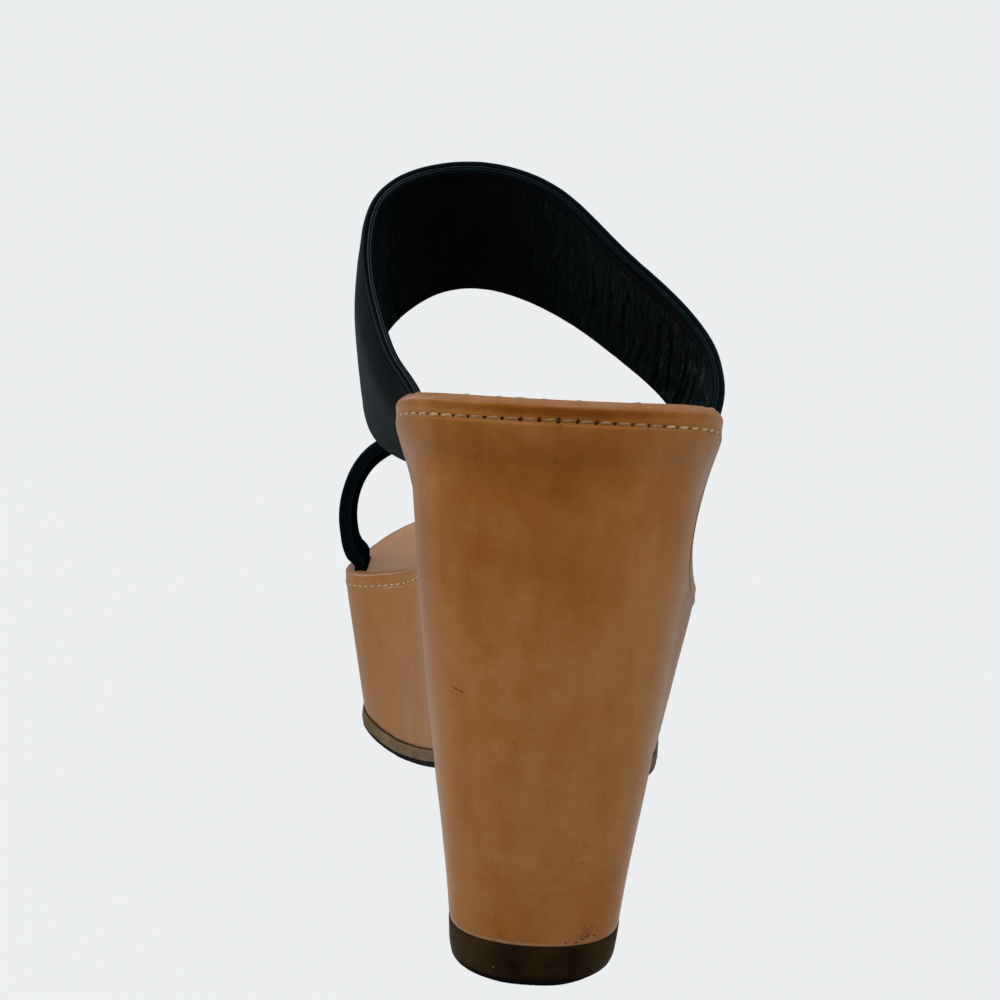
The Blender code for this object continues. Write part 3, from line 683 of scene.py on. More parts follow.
def make_wedge():
    marks = from_base([BREAST, BREAST + 0.7, BREAST + 1.6, BREAST + 2.6, SOLE_REAR - 0.6, SOLE_REAR, SOLE_REAR + 1.5])
    ys = stations(190, marks)
    lp = Loop(len(ys), True, True)
    yb = to_base(ys)
    top = lp.make(ys, top_in(ys), top_out(ys), top_z(ys) - thick(ys) + 0.7)
    step = np.where(yb < BREAST + 0.35, LIFT_T + GAP * 0.3, under(yb) + SOLE_T + GAP * 0.3)
    rise = ease(BREAST + 0.2, SOLE_REAR, yb)
    floor = np.where(yb > SOLE_REAR - 0.1, step, LIFT_T + GAP * 0.3
                     + (under(SOLE_REAR) + SOLE_T - LIFT_T) * rise)
    base = lp.make(yb, base_in(yb), base_out(yb), floor)
    tall = top[:, 2] - base[:, 2]
    depths = np.unique(np.r_[np.linspace(0, 0.10, 16), np.linspace(0.10, 0.95, 56), np.linspace(0.95, 1.0, 10), 1 - np.array([0.0080, 0.0060, 0.0045, 0.0032, 0.0020, 0.0010])])
    lumps = Lattice(11)
    arc = np.r_[0, np.cumsum(np.linalg.norm(np.diff(top[:, :2], axis=0), axis=1))]
    loops, attr = [], {"tone": [], "edge": [], "painted_shade": [], "pale": []}
    nrm = normals_of(top)
    for v in depths:
        h = tall * v
        q = drawn(np.maximum(h - 0.7, 0), tall - 0.7, top[:, 1])
        q = (q * (1.3 - 0.3 * np.clip(h / 0.7, 0, 1)))[:, None]
        loop = top + (base - top) * q
        loop[:, 2] = top[:, 2] - h
        left = tall - h
        tuck = 0.18 * bell(left, 0.6)                                        # cover turned in at its foot
        wave = 0.10 * lumps(arc / 14.0, h / 20.0) + 0.05 * lumps(arc / 5.0 + 9, h / 9.0)
        seam = 0.06 * bell(arc, 0.5) * ease(18, 8, h)                         # short crease at the centre back
        loop[:, :2] += nrm * (wave * ease(0.5, 5, h) * ease(0.3, 3, left) - tuck - seam)[:, None]
        loops.append(loop)
        x, y = loop[:, 0], loop[:, 1]
        rear = ease(34, 4, y)
        # painted shade and painted light: the centre of the heel back is darkened by height (centre, deep), and its
        # lower right side is lightened and lower left darkened (sides), as the light falls
        centre = bell(x - np.interp(h, (0, 60, 90, 112), (-4, -4, 3, 6)), 25) * rear
        deep = np.interp(h, (0, 3, 8, 14, 20, 33, 52, 74, 96, 112), (0.50, 0.48, 0.34, 0.46, 0.57, 0.60, 0.86, 0.89, 0.87, 0.66))
        sides = 0.92 + 0.17 * np.clip(x / 20, -1, 1) * ease(60, 25, h) * rear
        attr["tone"].append(sides * (1 - centre) + deep * centre + 0.9 * bell(left - 0.55, 0.28) * rear)
        attr["edge"].append(0.30 * bell(left - 0.6, 0.7) * (1 - rear))
        attr["pale"].append(0.75 * bell(left - 0.50, 0.22) * rear * ease(14, 2, x))
        # painted shade in the joint at the cover's foot and in the short crease at the centre back; the last term also
        # makes the lowest 6 mm patchily darker
        foot = 0.20 * bell(left, 0.8) + 0.65 * bell(left, 0.16) + 0.10 * bell(left, 6.0) * (0.5 + 0.5 * lumps(arc / 6.0, h / 6.0))
        attr["painted_shade"].append(np.clip(foot + 0.13 * seam / 0.06, 0, 1))
    verts = np.vstack(loops)
    faces = stack_faces(len(loops), lp.n) + lp.zip(0) + lp.zip((len(loops) - 1) * lp.n, True)
    return piece("wedge_cover", verts, faces, TAN, {k: np.concatenate(v) for k, v in attr.items()}, "wedge")


# ---------------------------------------------------------------------------- sole and lift
def make_outsole():
    ys = stations(190, from_base([SOLE_REAR]))
    yb = to_base(ys)
    yb = yb[yb > SOLE_REAR - 0.01]
    lp = Loop(len(yb), False, True)
    foot = lp.make(yb, base_in(yb), base_out(yb), under(yb))
    arc = np.r_[0, np.cumsum(np.linalg.norm(np.diff(foot[:, :2], axis=0), axis=1))]
    worn = Lattice(17)
    loops, low, painted_shade = [], [], []
    rows = ((5.0, 0.9, 0), (5.0, -0.05, 0), (4.9, -0.30, 0), (4.65, -0.48, 0), (4.2, -0.58, 0), (3.6, -0.62, 0), (3.0, -0.64, 0),
            (2.4, -0.64, 0), (2.0, -0.62, 0), (1.75, -0.58, 0), (1.68, -0.48, 1), (1.5, -0.46, 1), (1.1, -0.40, 1), (0.7, -0.26, 1), (0.4, -0.06, 1),
            (0.18, 0.25, 1), (0.04, 0.7, 1), (0.0, 1.4, 1), (0.0, 3.0, 1))
    for up, d, dark in rows:
        chew = 0.10 * worn(arc / 2.3, up * 0.8 + 0 * arc) + 0.05 * worn(arc / 0.9 + 5, up + 0 * arc)
        loop = inset(foot, d + chew * (1 if -0.9 < d < 0.3 else 0))
        loop[:, 1] = np.where(yb[lp.station] < SOLE_REAR + 0.02, SOLE_REAR - 1.8 + 0.05 * max(d, 0), np.maximum(loop[:, 1], SOLE_REAR))
        loop[[lp.out[0], lp.inn[0]], 0] = loop[[lp.out[1], lp.inn[1]], 0]
        loop[:, 2] = under(np.maximum(loop[:, 1], SOLE_REAR)) + up
        loops.append(loop)
        low.append(np.full(lp.n, float(dark)))
        # painted shade: a dark line along the outsole's top, in the joint with the wedge
        painted_shade.append(np.full(lp.n, 0.85 * bell(up - 5.0, 0.16)))
    verts = np.vstack(loops)
    faces = stack_faces(len(loops), lp.n) + lp.zip(0) + lp.zip((len(loops) - 1) * lp.n, True)
    obj = piece("outsole_rubber", verts, faces, SOLE, {"low": 0.0 * np.concatenate(low), "painted_shade": np.concatenate(painted_shade), "scuff_and_sheen": np.zeros(len(verts))}, "outsole")
    second(obj, np.concatenate(low), TREAD)
    return obj


def make_lift():
    yb = to_base(stations(300, from_base([BREAST])))
    yb = yb[yb < BREAST + 0.01]
    lp = Loop(len(yb), True, False)
    foot = lp.make(yb, base_in(yb), base_out(yb), 0 * yb)
    arc = np.r_[0, np.cumsum(np.linalg.norm(np.diff(foot[:, :2], axis=0), axis=1))]
    worn = Lattice(23)
    loops, low, painted_shade = [], [], []
    rows = ((9.5, 1.6, 0), (9.5, 0.45, 0), (9.42, 0.2, 0), (9.2, 0.05, 0), (8.6, 0.0, 0), (7.6, 0.0, 0), (6.4, 0.0, 0), (5.0, 0.0, 0),
            (3.8, 0.0, 0), (2.8, 0.0, 0.1), (2.1, 0.02, 0.4), (1.6, 0.05, 0.8), (1.2, 0.10, 1), (0.8, 0.18, 1), (0.5, 0.30, 1), (0.25, 0.50, 1),
            (0.08, 0.80, 1), (0.0, 1.3, 1), (0.0, 4.0, 1))
    for up, d, dark in rows:
        chew = 0.06 * worn(arc / 2.1, up * 0.6 + 0 * arc) + 0.03 * worn(arc / 0.9 + 5, up + 0 * arc)
        loop = inset(foot, d + chew * (1 if d < 1 else 0))
        side = ease(4, 17, np.abs(foot[:, 0])) * np.where(foot[:, 0] > 0, 1.15, 0.62) * ease(44, 24, foot[:, 1])      # trodden round at the back corners
        gone = np.interp(up, (0, 0.25, 0.6, 1.2, 2.2, 3.5, 5.5, 8.0), (2.7, 2.1, 1.65, 1.2, 0.8, 0.48, 0.2, 0.0))
        loop[:, :2] -= normals_of(foot) * (gone * (0.08 + 0.92 * side))[:, None]
        loop[[lp.out[-1], lp.inn[-1]], 0] = loop[[lp.out[-2], lp.inn[-2]], 0]                  # square corners at the breast
        loop[:, 1] = np.minimum(loop[:, 1], BREAST - max(d, 0) - 0.01 * (lp.k - 1 - lp.station))
        loop[:, 2] = up
        loops.append(loop)
        low.append(np.full(lp.n, float(dark)))
        # painted shade: a dark line along the lift's top, in the joint with the wedge
        painted_shade.append(np.full(lp.n, 0.8 * bell(up - 9.5, 0.3)))
    verts = np.vstack(loops)
    faces = stack_faces(len(loops), lp.n) + lp.zip(0) + lp.zip((len(loops) - 1) * lp.n, True)
    low = np.concatenate(low)
    # painted reflection: the lift's left and right rear corners are lightened as if they reflected the studio
    scuff_and_sheen = (0.85 * ease(-2, -17, verts[:, 0]) + 0.80 * ease(7, 18, verts[:, 0])) * ease(40, 12, verts[:, 1]) * (1 - low)
    obj = piece("heel_lift_rubber", verts, faces, LIFT, {"low": 0.0 * low, "painted_shade": np.concatenate(painted_shade), "scuff_and_sheen": scuff_and_sheen}, "heel_lift")
    second(obj, low, TREAD, 0.7)
    return obj


# ---------------------------------------------------------------------------- bands
# section of a band's edge: outer ply, two fine beads, lining ply (outward place, depth below the outer face)
EDGE = ((-1.35, 0.00), (-0.90, 0.00), (-0.50, 0.05), (-0.22, 0.18), (-0.07, 0.38), (0.00, 0.62), (-0.05, 0.88), (-0.18, 1.08),
        (-0.34, 1.18), (-0.40, 1.23), (-0.30, 1.29), (-0.13, 1.38), (-0.06, 1.51), (-0.12, 1.64), (-0.30, 1.73), (-0.38, 1.78),
        (-0.28, 1.84), (-0.14, 1.93), (-0.09, 2.05), (-0.17, 2.18), (-0.36, 2.28), (-0.46, 2.34), (-0.44, 2.42), (-0.56, 2.56),
        (-0.84, 2.70), (-1.35, 2.78))


FOLD = ((-1.35, 0.00), (-0.85, 0.01), (-0.45, 0.08), (-0.18, 0.26), (-0.04, 0.55), (0.0, 0.95), (0.0, 1.4), (0.0, 1.85),
        (-0.03, 2.25), (-0.14, 2.52), (-0.36, 2.68), (-0.75, 2.76), (-1.35, 2.78))


def make_band(name, rows, wall, swell, soft, creases, node, along_step, seed, wrinkle_gap, bright, gather):
    rows = np.array(rows, float)
    ends = []
    for row in (rows[0], rows[-1]):
        tab = row.copy()
        for k in (0, 3):
            tab[k + 2] = top_z(row[k + 1]) - thick(row[k + 1]) + 1.9
        ends.append(tab)
    rows = np.vstack([ends[0], rows, ends[1]])
    mid = (rows[:, :3] + rows[:, 3:]) / 2
    s = np.r_[0, np.cumsum(np.linalg.norm(np.diff(mid, axis=0), axis=1))]
    count = int((s[-1]) / along_step)
    u = np.linspace(0, s[-1], count + 1)
    lines = np.stack([steady(s, rows[:, k])(u) for k in range(6)], 1)
    smooth = np.stack([spline(s, rows[:, k])(u) for k in range(6)], 1)
    from_slit = np.minimum(u - s[1], s[-2] - u)
    hold = ease(3.0, 16.0, from_slit)[:, None]
    lines = lines * (1 - hold) + smooth * hold
    back, front = lines[:, :3], lines[:, 3:]
    wide = np.linalg.norm(front - back, axis=1)
    free = ease(0.3, 5.0, from_slit)
    rise = swell * np.clip(from_slit / 25, 0, 1)
    u0 = u - s[1]

    def face(v):
        p = back[:, None, :] * (1 - v)[:, :, None] + front[:, None, :] * v[:, :, None]
        return p

    def frame_of(p):
        du = np.gradient(p, axis=0)
        dv = np.gradient(p, axis=1)
        nn = np.cross(dv, du)
        nn /= np.linalg.norm(nn, axis=2)[:, :, None]
        side = np.sum(nn * (p - np.array([-8.0, 0, 60.0])) * np.array([1, 0, 1]), axis=2)
        return nn * np.where(side.mean() < 0, -1, 1)

    grid = np.tile(np.linspace(0, 1, 25), (len(u), 1))
    base = face(grid)
    base = base + frame_of(base) * (rise[:, None] * 4 * grid * (1 - grid))[:, :, None]
    for place, across, depth, la, lw in soft:
        base = base + frame_of(base) * (depth * bell(u0[:, None] - place, la) * bell(grid - across, lw) * free[:, None])[:, :, None]
    nrm = frame_of(base)
    tab = from_slit < 0.4
    first, last = np.where(~tab)[0][[0, -1]]
    nrm[:first], nrm[last + 1:] = nrm[first], nrm[last]

    def sample(field, v):
        x = np.clip(v, 0, 1) * (field.shape[1] - 1)
        i = np.clip(x.astype(int), 0, field.shape[1] - 2)
        t = (x - i)[:, :, None]
        r = np.arange(field.shape[0])[:, None]
        return field[r, i] * (1 - t) + field[r, i + 1] * t

    noise, noise2 = Lattice(seed), Lattice(seed + 1)
    near = np.array([1.45, 1.7, 2.0, 2.4, 2.9, 3.6, 4.6])
    near_in = np.array([1.45, 1.9, 2.4, 2.8, 3.1, 3.35, 3.6, 3.9, 4.4, 5.2])
    far_in = np.array([1.45, 1.9, 2.5, 3.3])

    def across(near, far, inner):
        w0 = np.tile(near, (len(u), 1))
        w1 = wide[:, None] - np.tile(far[::-1], (len(u), 1))
        f = np.linspace(0, 1, inner + 2)[1:-1]
        mid = near[-1] + (wide[:, None] - near[-1] - far[-1]) * f
        return np.concatenate([w0, mid, w1], 1)

    # outer face
    w_out = across(near, near, 24)
    edge_d = np.minimum(w_out, wide[:, None] - w_out)
    bead = 0.06 * bell(edge_d - 1.0, 0.7) - 0.06 * bell(edge_d - 2.3, 0.5)
    ripple = 0.05 * noise(u0[:, None] / 6.0, w_out / 8.0) + 0.03 * noise2(u0[:, None] / 2.2, w_out / 5.0)
    pucker = 0.22 * noise(w_out / 2.1 + 3, u0[:, None] / 30.0) * bell(from_slit - 3, 5)[:, None]
    lift = (bead + ripple + pucker) * free[:, None]
    outer = sample(base, w_out / wide[:, None]) + sample(nrm, w_out / wide[:, None]) * lift[:, :, None]
    # inner face
    w_in = across(near_in, far_in, 42)
    v_in = w_in / wide[:, None]
    turned = 0.16 * (1 - ease(2.9, 3.5, w_in)) - 0.08 * bell(w_in - 3.7, 0.3)
    fold = np.zeros_like(w_in)
    for at_back, at_front, v0, v1, depth, half in creases:
        line = at_back + (at_front - at_back) * v_in + 1.3 * noise(v_in * 3.4, 0 * v_in + at_back * 0.37)
        window = ease(v0 - 0.05, v0 + 0.10, v_in) * ease(v1 + 0.05, v1 - 0.12, v_in)
        off = u0[:, None] - line
        fold += 0.8 * depth * window * (-bell(off, half * 0.6) + 0.35 * bell(np.abs(off) - 1.3 * half, half * 0.7))
    fold += 0.07 * noise(u0[:, None] / 1.3, w_in / 9.0) + 0.04 * noise2(u0[:, None] / 0.9, w_in / 4.0)
    smooth_edge = ease(3.4, 5.4, w_in) * ease(0.6, 1.8, wide[:, None] - w_in)
    puck_in = (0.05 + 0.20 * bright) * noise2(w_in / 2.3, u0[:, None] / 30.0) * bell(from_slit - 3, 5)[:, None]
    bunch = gather * bell(from_slit - 2.2, 2.6)[:, None] * (1 + 0.6 * noise(w_in / 1.6, 0 * w_in + 4))
    inward = (turned + fold * smooth_edge + puck_in) * free[:, None] + bunch * ease(0.1, 1.2, from_slit)[:, None]
    inner = sample(base, v_in) - sample(nrm, v_in) * (wall + inward)[:, :, None]
    # rounded two-ply edges
    ea = np.array([p[0] for p in EDGE])
    eb = np.array([p[1] for p in EDGE]) * wall / 2.78
    fa = np.array([p[0] for p in FOLD])
    fb = np.array([p[1] for p in FOLD]) * wall / 2.78
    out_dir = base[:, :1] - base[:, 1:2]
    out_dir /= np.linalg.norm(out_dir, axis=2)[:, :, None]
    end_dir = base[:, -1:] - base[:, -2:-1]
    end_dir /= np.linalg.norm(end_dir, axis=2)[:, :, None]
    fuzz = 0.05 * noise(u0 / 2.4, 0 * u0)[:, None] * free[:, None]
    turned_in = 0.16 * free[:, None] * ease(1.9, 2.7, eb)[None, :]
    back_edge = base[:, :1] + out_dir * (ea[None, :] + fuzz)[:, :, None] - nrm[:, :1] * (eb[None, :] + turned_in)[:, :, None]
    front_edge = base[:, -1:] + end_dir * (fa[None, :] + fuzz)[:, :, None] - nrm[:, -1:] * fb[None, :, None]
    ring = np.concatenate([outer, front_edge, inner[:, ::-1], back_edge[:, ::-1]], 1)
    n, m = ring.shape[1], ring.shape[0]
    verts = ring.reshape(-1, 3)
    faces = stack_faces(m, n) + [list(range(n))[::-1], [(m - 1) * n + i for i in range(n)]]
    n_out, n_edge, n_in = outer.shape[1], len(FOLD), inner.shape[1]
    painted_sheen = np.zeros((m, n))
    # painted sheen on the outer face: grey-green, kept off a dark margin along the rear edge (dark_to) and strongest on
    # the medial side
    dark_to = np.interp(u0, (0, 10, 30, 50, 70), (12.0, 11.0, 8.5, 4.5, 2.0))[:, None]
    painted_sheen[:, :n_out] = ((0.05 + 0.27 * ease(78, 42, u0))[:, None] * ease(0.0, 9.0, w_out - dark_to) + 0.02 * noise(u0[:, None] / 9.0, w_out / 12.0)) * (0.1 + 0.9 * bright)
    # painted highlights: light lines along the beads of the rear edge, strongest on the medial side (shown)
    bead_highlight = 0.45 * bell(eb - 0.30, 0.13) + 1.0 * bell(eb - 1.51 * wall / 2.78, 0.12) + 0.6 * bell(eb - 2.05 * wall / 2.78, 0.11)
    shown = bright * (0.28 + 0.72 * ease(72, 44, u0))
    # painted highlight along the fold of the front edge
    painted_sheen[:, n_out:n_out + n_edge] = 0.12 * bell(fb - 2.3 * wall / 2.78, 0.3)
    # painted highlights on the crests of the lining's folds
    crest = np.clip(fold * smooth_edge / 0.30, 0, 1) * 0.04
    painted_sheen[:, n_out + n_edge:n_out + n_edge + n_in] = crest[:, ::-1]
    painted_sheen[:, n_out + n_edge + n_in:] = shown[:, None] * bead_highlight[None, ::-1]
    along, over, crinkle_and_shade = np.zeros((m, n)), np.zeros((m, n)), np.zeros((m, n))
    along[:] = u0[:, None]
    mid_in = slice(n_out + n_edge, n_out + n_edge + n_in)
    over[:, :n_out], over[:, mid_in] = w_out, w_in[:, ::-1]
    # painted shade: where this is low (at the crown, near the edges, and on the forefoot band with its small bright)
    # the lining's colour goes near black; where it is high, it goes to a lighter panel
    crown = 1 - 0.85 * bell((u0 - wrinkle_gap[0]) / wrinkle_gap[1], 1.0)
    ends = np.zeros((m, n))
    ends[:, mid_in] = ease(46, 20, from_slit)[:, None]
    crinkle_and_shade[:, mid_in] = (smooth_edge * crown[:, None])[:, ::-1] * (0.12 + 0.88 * bright)
    obj = piece(name, verts, faces, BLACK, {"painted_sheen": np.clip(painted_sheen, 0, 1), "along": along, "over": over, "crinkle_and_shade": crinkle_and_shade, "ends": ends}, node)
    obj.data.materials.append(LINING if bright > 0.5 else DULL)
    slot = np.zeros((m - 1, n), np.int32)
    slot[:, n_out + n_edge:n_out + n_edge + n_in - 1] = 1
    index = np.zeros(len(obj.data.polygons), np.int32)
    index[:slot.size] = slot.ravel()
    obj.data.polygons.foreach_set("material_index", index)
    print(name, "length", round(s[-2] - s[1], 1), "triangles", 2 * slot.size)
    return obj


# ---------------------------------------------------------------------------- stitches
def make_stitches():
    ys = stations(900)
    lp = Loop(len(ys), True, True)
    depth = 0.80
    line = inset(lp.make(ys, top_in(ys), top_out(ys), top_z(ys)), 0.30)
    rear = ease(70, 20, line[:, 1])
    depth = depth + rear * (0.12 * ease(10, 32, line[:, 0]) + 0.03 * ease(-12, -30, line[:, 0]) - 0.06 * bell(line[:, 0], 14))
    line[:, 2] -= thick(ys)[lp.station] * depth
    closed = np.vstack([line, line[:1]])
    arc = np.r_[0, np.cumsum(np.linalg.norm(np.diff(closed, axis=0), axis=1))]
    count = int(round(arc[-1] / 3.8))
    pitch = arc[-1] / count

    def at(s):
        s = np.mod(s, arc[-1])
        return np.array([np.interp(s, arc, closed[:, k]) for k in range(3)])
    segs, rim = 11, 10
    tv, tf, hv, hf = [], [], [], []
    for i in range(count):
        mid = (i + 0.5) * pitch
        t = at(mid + 0.8) - at(mid - 0.8)
        t /= np.linalg.norm(t)
        out = np.array([t[1], -t[0], 0.0])
        out /= np.linalg.norm(out)
        up = np.cross(out, t)
        up *= np.sign(up[2])
        long_, tall, high = 1.30 + 0.35 * ease(20, 60, at(mid)[1]) + rng.uniform(-0.10, 0.06), 0.29 + rng.uniform(-0.04, 0.03), 0.15
        tilt = 0.10 + rng.uniform(-0.03, 0.03)
        b = len(tv)
        for k in range(segs):
            a = -1 + 2 * k / (segs - 1)
            full = (1 - abs(a) ** 5) ** 0.5 if abs(a) < 1 else 0.0
            full = max(full, 0.12)
            c = at(mid + a * long_) + up * (a * tilt) + out * (0.02 - 0.10 * a ** 4)
            for j in range(rim):
                g = 2 * math.pi * j / rim
                tv.append(c + up * (tall * full * math.sin(g)) + out * (high * full * math.cos(g)))
        for k in range(segs - 1):
            for j in range(rim):
                q = (j + 1) % rim
                tf.append((b + k * rim + j, b + k * rim + q, b + (k + 1) * rim + q, b + (k + 1) * rim + j))
        tf.append([b + j for j in range(rim)][::-1])
        tf.append([b + (segs - 1) * rim + j for j in range(rim)])
        # dark disc at the stitch's end, painted shade standing in for the stitch hole
        s0 = i * pitch
        c = at(s0)
        t = at(s0 + 0.5) - at(s0 - 0.5)
        t /= np.linalg.norm(t)
        out = np.array([t[1], -t[0], 0.0])
        out /= np.linalg.norm(out)
        up = np.cross(out, t)
        up *= np.sign(up[2])
        size0 = 0.22 + 0.80 * bell(c[0], 25) * ease(45, 8, c[1])
        wide, tall2 = (0.52 + rng.uniform(-0.06, 0.06)) * size0, (0.58 + rng.uniform(-0.08, 0.08)) * size0
        lean = 0.18 + rng.uniform(-0.06, 0.06)
        b = len(hv)
        for layer, size in ((0.035, 0.55), (0.0, 1.0), (-0.12, 0.55)):
            for j in range(14):
                g = 2 * math.pi * j / 14
                a, d = wide * size * math.cos(g), tall2 * size * math.sin(g)
                hv.append(c + t * (a + lean * d) + up * d + out * (layer + 0.07))
        for k in range(2):
            for j in range(14):
                q = (j + 1) % 14
                hf.append((b + k * 14 + j, b + k * 14 + q, b + (k + 1) * 14 + q, b + (k + 1) * 14 + j))
        hf.append([b + j for j in range(14)][::-1])
        hf.append([b + 28 + j for j in range(14)])
    sewn = piece("edge_stitches", np.array(tv), tf, THREAD, None, None)
    tv = np.array(tv)
    # the back-centre stitches keep the darker thread as painted shade, and the rest take the paler copy as painted
    # light
    second(sewn, 1 - bell(tv[:, 0], 26) * ease(50, 10, tv[:, 1]), PALE)
    piece("stitch_holes", np.array(hv), hf, HOLE, None, None)
    print("stitches", count)


# ---------------------------------------------------------------------------- wear marks
def make_marks(name, obj, marks, material):
    """Thin lens-shaped marks laid on a piece's back: x, height, half length, half width, turn in degrees."""
    tree = BVHTree.FromPolygons([v.co[:] for v in obj.data.vertices], [p.vertices[:] for p in obj.data.polygons])

    def spot(x, z):
        return tree.ray_cast(Vector(((x + SHIFT[0]) * MM, -0.3, z * MM)), Vector((0, 1, 0)))[:2]
    verts, faces, count = [], [], 16
    for x, z, long_, tall, turn in marks:
        c, s = math.cos(math.radians(turn)), math.sin(math.radians(turn))
        ring = []
        for size, lift in ((1.0, -0.05), (0.72, 0.018), (0.30, 0.030)):
            for j in range(count):
                g = 2 * math.pi * j / count
                r = size * (1 + rng.uniform(-0.22, 0.22))
                a, d = long_ * r * math.cos(g), tall * r * math.sin(g)
                ring.append((x + a * c - d * s, z + a * s + d * c, lift))
        b = len(verts)
        for px, pz, lift in ring:
            at, out = spot(px, pz)
            verts.append((np.array(at) / MM - SHIFT) + np.array(out) * lift)
        for k in range(2):
            for j in range(count):
                q = (j + 1) % count
                faces.append((b + k * count + j, b + k * count + q, b + (k + 1) * count + q, b + (k + 1) * count + j))
        faces.append([b + 2 * count + j for j in range(count)])
        faces.append([b + j for j in range(count)][::-1])
    piece(name, np.array(verts), faces, material, None, None)


make_footbed()
wedge = make_wedge()
make_outsole()
lift = make_lift()
make_marks("dark_scuffs", wedge, ((-18.5, 66.25, 1.25, 0.17, -3), (-17.3, 66.05, 0.45, 0.24, -12), (11.0, 12.4, 0.50, 0.34, 30), (11.7, 11.6, 0.95, 0.20, 40),
                                  (10.6, 11.1, 0.80, 0.18, -16), (11.6, 13.0, 0.80, 0.15, 70), (13.2, 11.5, 0.60, 0.13, -32), (10.9, 14.0, 0.12, 0.85, -8),
                                  (9.3, 10.5, 0.60, 0.20, 10), (7.1, 10.5, 0.36, 0.24, 0), (13.9, 12.5, 0.26, 0.16, 0)), SCUFF)
make_marks("bare_scuffs", wedge, ((10.0, 11.5, 0.50, 0.20, 18), (12.7, 11.0, 0.55, 0.18, -20), (8.3, 10.4, 0.45, 0.13, 5)), BARE)
make_marks("faint_scuffs", wedge, ((11.4, 12.6, 1.7, 1.0, 35), (12.8, 13.8, 0.9, 0.5, -30), (9.8, 12.0, 0.9, 0.45, 10), (5.0, 37.6, 1.9, 0.13, 1), (-3.4, 55.2, 1.5, 0.10, -8), (2.0, 46.8, 1.2, 0.09, 4), (9.5, 29.5, 1.0, 0.09, -3),
                                   (-6.5, 33.2, 0.9, 0.09, 9), (-1.2, 41.6, 0.22, 0.12, 20), (12.2, 45.8, 0.24, 0.13, 0), (-9.3, 22.4, 0.20, 0.12, 0)), FAINT)
make_marks("lift_nick", lift, ((-8.2, 3.8, 0.22, 0.20, 0),), BARE)
make_band("instep_band", INSTEP, INSTEP_T, 1.5, INSTEP_SOFT, LINING_CREASES, "instep_strap", 0.38, 31, (66.0, 34.0), 1.0, 0.0)
make_band("forefoot_band", FOREFOOT, FOREFOOT_T, 0.8, FOREFOOT_SOFT, FOREFOOT_CREASES, "forefoot_strap", 0.38, 47, (40.0, 60.0), 0.02, 0.12)
make_stitches()

# ---------------------------------------------------------------------------- floor, light, camera
n = Nodes("pale_floor")
glow = n.tree.nodes.new("ShaderNodeEmission")
glow.inputs["Color"].default_value = (0.838, 0.855, 0.871, 1)
glow.inputs["Strength"].default_value = 0.985
n.done(Base_Color=(0.012, 0.012, 0.012, 1), Roughness=0.9, Specular_IOR_Level=0.0)
add = n.tree.nodes.new("ShaderNodeAddShader")
n.tree.links.new(n.bsdf.outputs[0], add.inputs[0])
n.tree.links.new(glow.outputs[0], add.inputs[1])
n.tree.links.new(add.outputs[0], n.tree.nodes["Material Output"].inputs["Surface"])
mesh = bpy.data.meshes.new("floor")
mesh.from_pydata([(-30, -30, -0.0002), (30, -30, -0.0002), (30, 60, -0.0002), (-30, 60, -0.0002)], [], [(0, 1, 2, 3)])
mesh.materials.append(n.mat)
floor = bpy.data.objects.new("floor", mesh)
scene = bpy.context.scene
scene.collection.objects.link(floor)
floor.visible_glossy = floor.visible_diffuse = False          # the studio around it lights the shoe, not the glow of the floor
ring, rise, far = 48, 12, 8.0
dome = [(far * math.cos(2 * math.pi * i / ring) * math.cos(a), far * math.sin(2 * math.pi * i / ring) * math.cos(a), far * math.sin(a) - 0.5)
        for a in np.linspace(0, 1.5, rise) for i in range(ring)]
sides = [(k * ring + i, k * ring + (i + 1) % ring, (k + 1) * ring + (i + 1) % ring, (k + 1) * ring + i) for k in range(rise - 1) for i in range(ring)]
mesh = bpy.data.meshes.new("backdrop")
mesh.from_pydata(dome, [], sides + [[(rise - 1) * ring + i for i in range(ring)]])
mesh.materials.append(n.mat)
backdrop = bpy.data.objects.new("backdrop", mesh)
scene.collection.objects.link(backdrop)
backdrop.visible_glossy = backdrop.visible_diffuse = backdrop.visible_transmission = backdrop.visible_shadow = False

scene.view_settings.view_transform = "Standard"
world = bpy.data.worlds.new("studio")
scene.world = world
world.use_nodes = True
wt = world.node_tree
way = wt.nodes.new("ShaderNodeTexCoord")
part = wt.nodes.new("ShaderNodeSeparateXYZ")
wt.links.new(way.outputs["Generated"], part.inputs[0])


def fade(sock, lo, hi, a, b):
    m = wt.nodes.new("ShaderNodeMapRange")
    m.interpolation_type = "SMOOTHSTEP"
    for key, v in (("From Min", lo), ("From Max", hi), ("To Min", a), ("To Max", b)):
        m.inputs[key].default_value = v
    wt.links.new(sock, m.inputs["Value"])
    return m.outputs[0]


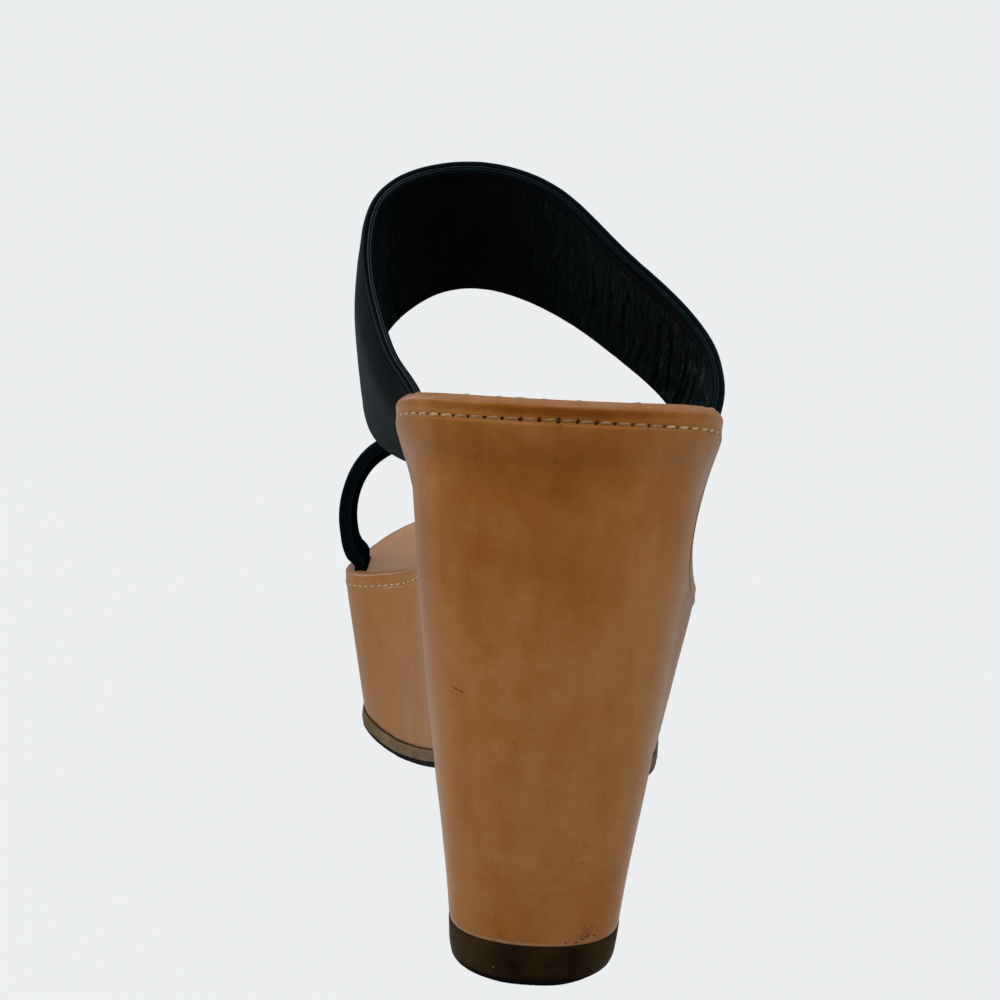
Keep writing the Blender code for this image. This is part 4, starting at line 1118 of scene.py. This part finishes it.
both = wt.nodes.new("ShaderNodeMath")
both.operation = "ADD"
wt.links.new(fade(part.outputs["Y"], 0.0, 0.95, WORLD_NEAR, WORLD_FAR), both.inputs[0])
wt.links.new(fade(part.outputs["Z"], 0.0, 1.0, 0.0, WORLD_TOP), both.inputs[1])
more = wt.nodes.new("ShaderNodeMath")
more.operation = "ADD"
wt.links.new(both.outputs[0], more.inputs[0])
wt.links.new(fade(part.outputs["Z"], -0.62, -0.26, WORLD_LOW, 0.0), more.inputs[1])
wt.nodes["Background"].inputs["Color"].default_value = (0.95, 0.975, 1.0, 1)
wt.links.new(more.outputs[0], wt.nodes["Background"].inputs["Strength"])


def softbox(name, place, target, size, watts, colour=(1, 1, 1)):
    lamp = bpy.data.lights.new(name, "AREA")
    lamp.shape = "RECTANGLE"
    lamp.size, lamp.size_y = size
    lamp.energy = watts
    lamp.color = colour
    obj = bpy.data.objects.new(name, lamp)
    obj.location = place
    obj.rotation_euler = (Vector(target) - Vector(place)).to_track_quat("-Z", "Y").to_euler()
    scene.collection.objects.link(obj)


softbox("top_panel", (0.0, 0.10, 1.4), (0, 0, 0.08), (2.0, 2.0), 14)
softbox("left_panel", (-1.3, -0.45, 0.60), (0, -0.05, 0.08), (1.6, 1.6), 13)
softbox("left_edge", (-1.25, 0.85, 0.45), (0, 0.0, 0.08), (0.9, 1.0), 6)
softbox("right_panel", (1.3, -0.40, 0.60), (0, -0.05, 0.08), (1.6, 1.6), 8.5)
softbox("back_fill", (0.15, -1.2, 1.45), (0, 0, 0.06), (1.4, 1.0), 18)

PITCH, YAW, ROLL = math.radians(14.665), math.atan(56.4 / 2162), math.radians(2.476)
cam = bpy.data.cameras.new("camera")
cam.sensor_width = 36.0
cam.lens = 2162 / 1000 * 36.0
cam.clip_end = 200
forward = Vector((-math.sin(YAW) * math.cos(PITCH), math.cos(YAW) * math.cos(PITCH), -math.sin(PITCH)))
right0 = forward.cross(Vector((0, 0, 1))).normalized()
up0 = right0.cross(forward)
right = right0 * math.cos(ROLL) + up0 * math.sin(ROLL)
up = up0 * math.cos(ROLL) - right0 * math.sin(ROLL)
place = (Vector((0.0, -415.0, 219.0)) + Vector(SHIFT)) * MM
view = bpy.data.objects.new("camera", cam)
view.matrix_world = Matrix(((right.x, up.x, -forward.x, place.x), (right.y, up.y, -forward.y, place.y),
                            (right.z, up.z, -forward.z, place.z), (0, 0, 0, 1)))
scene.collection.objects.link(view)
scene.camera = view
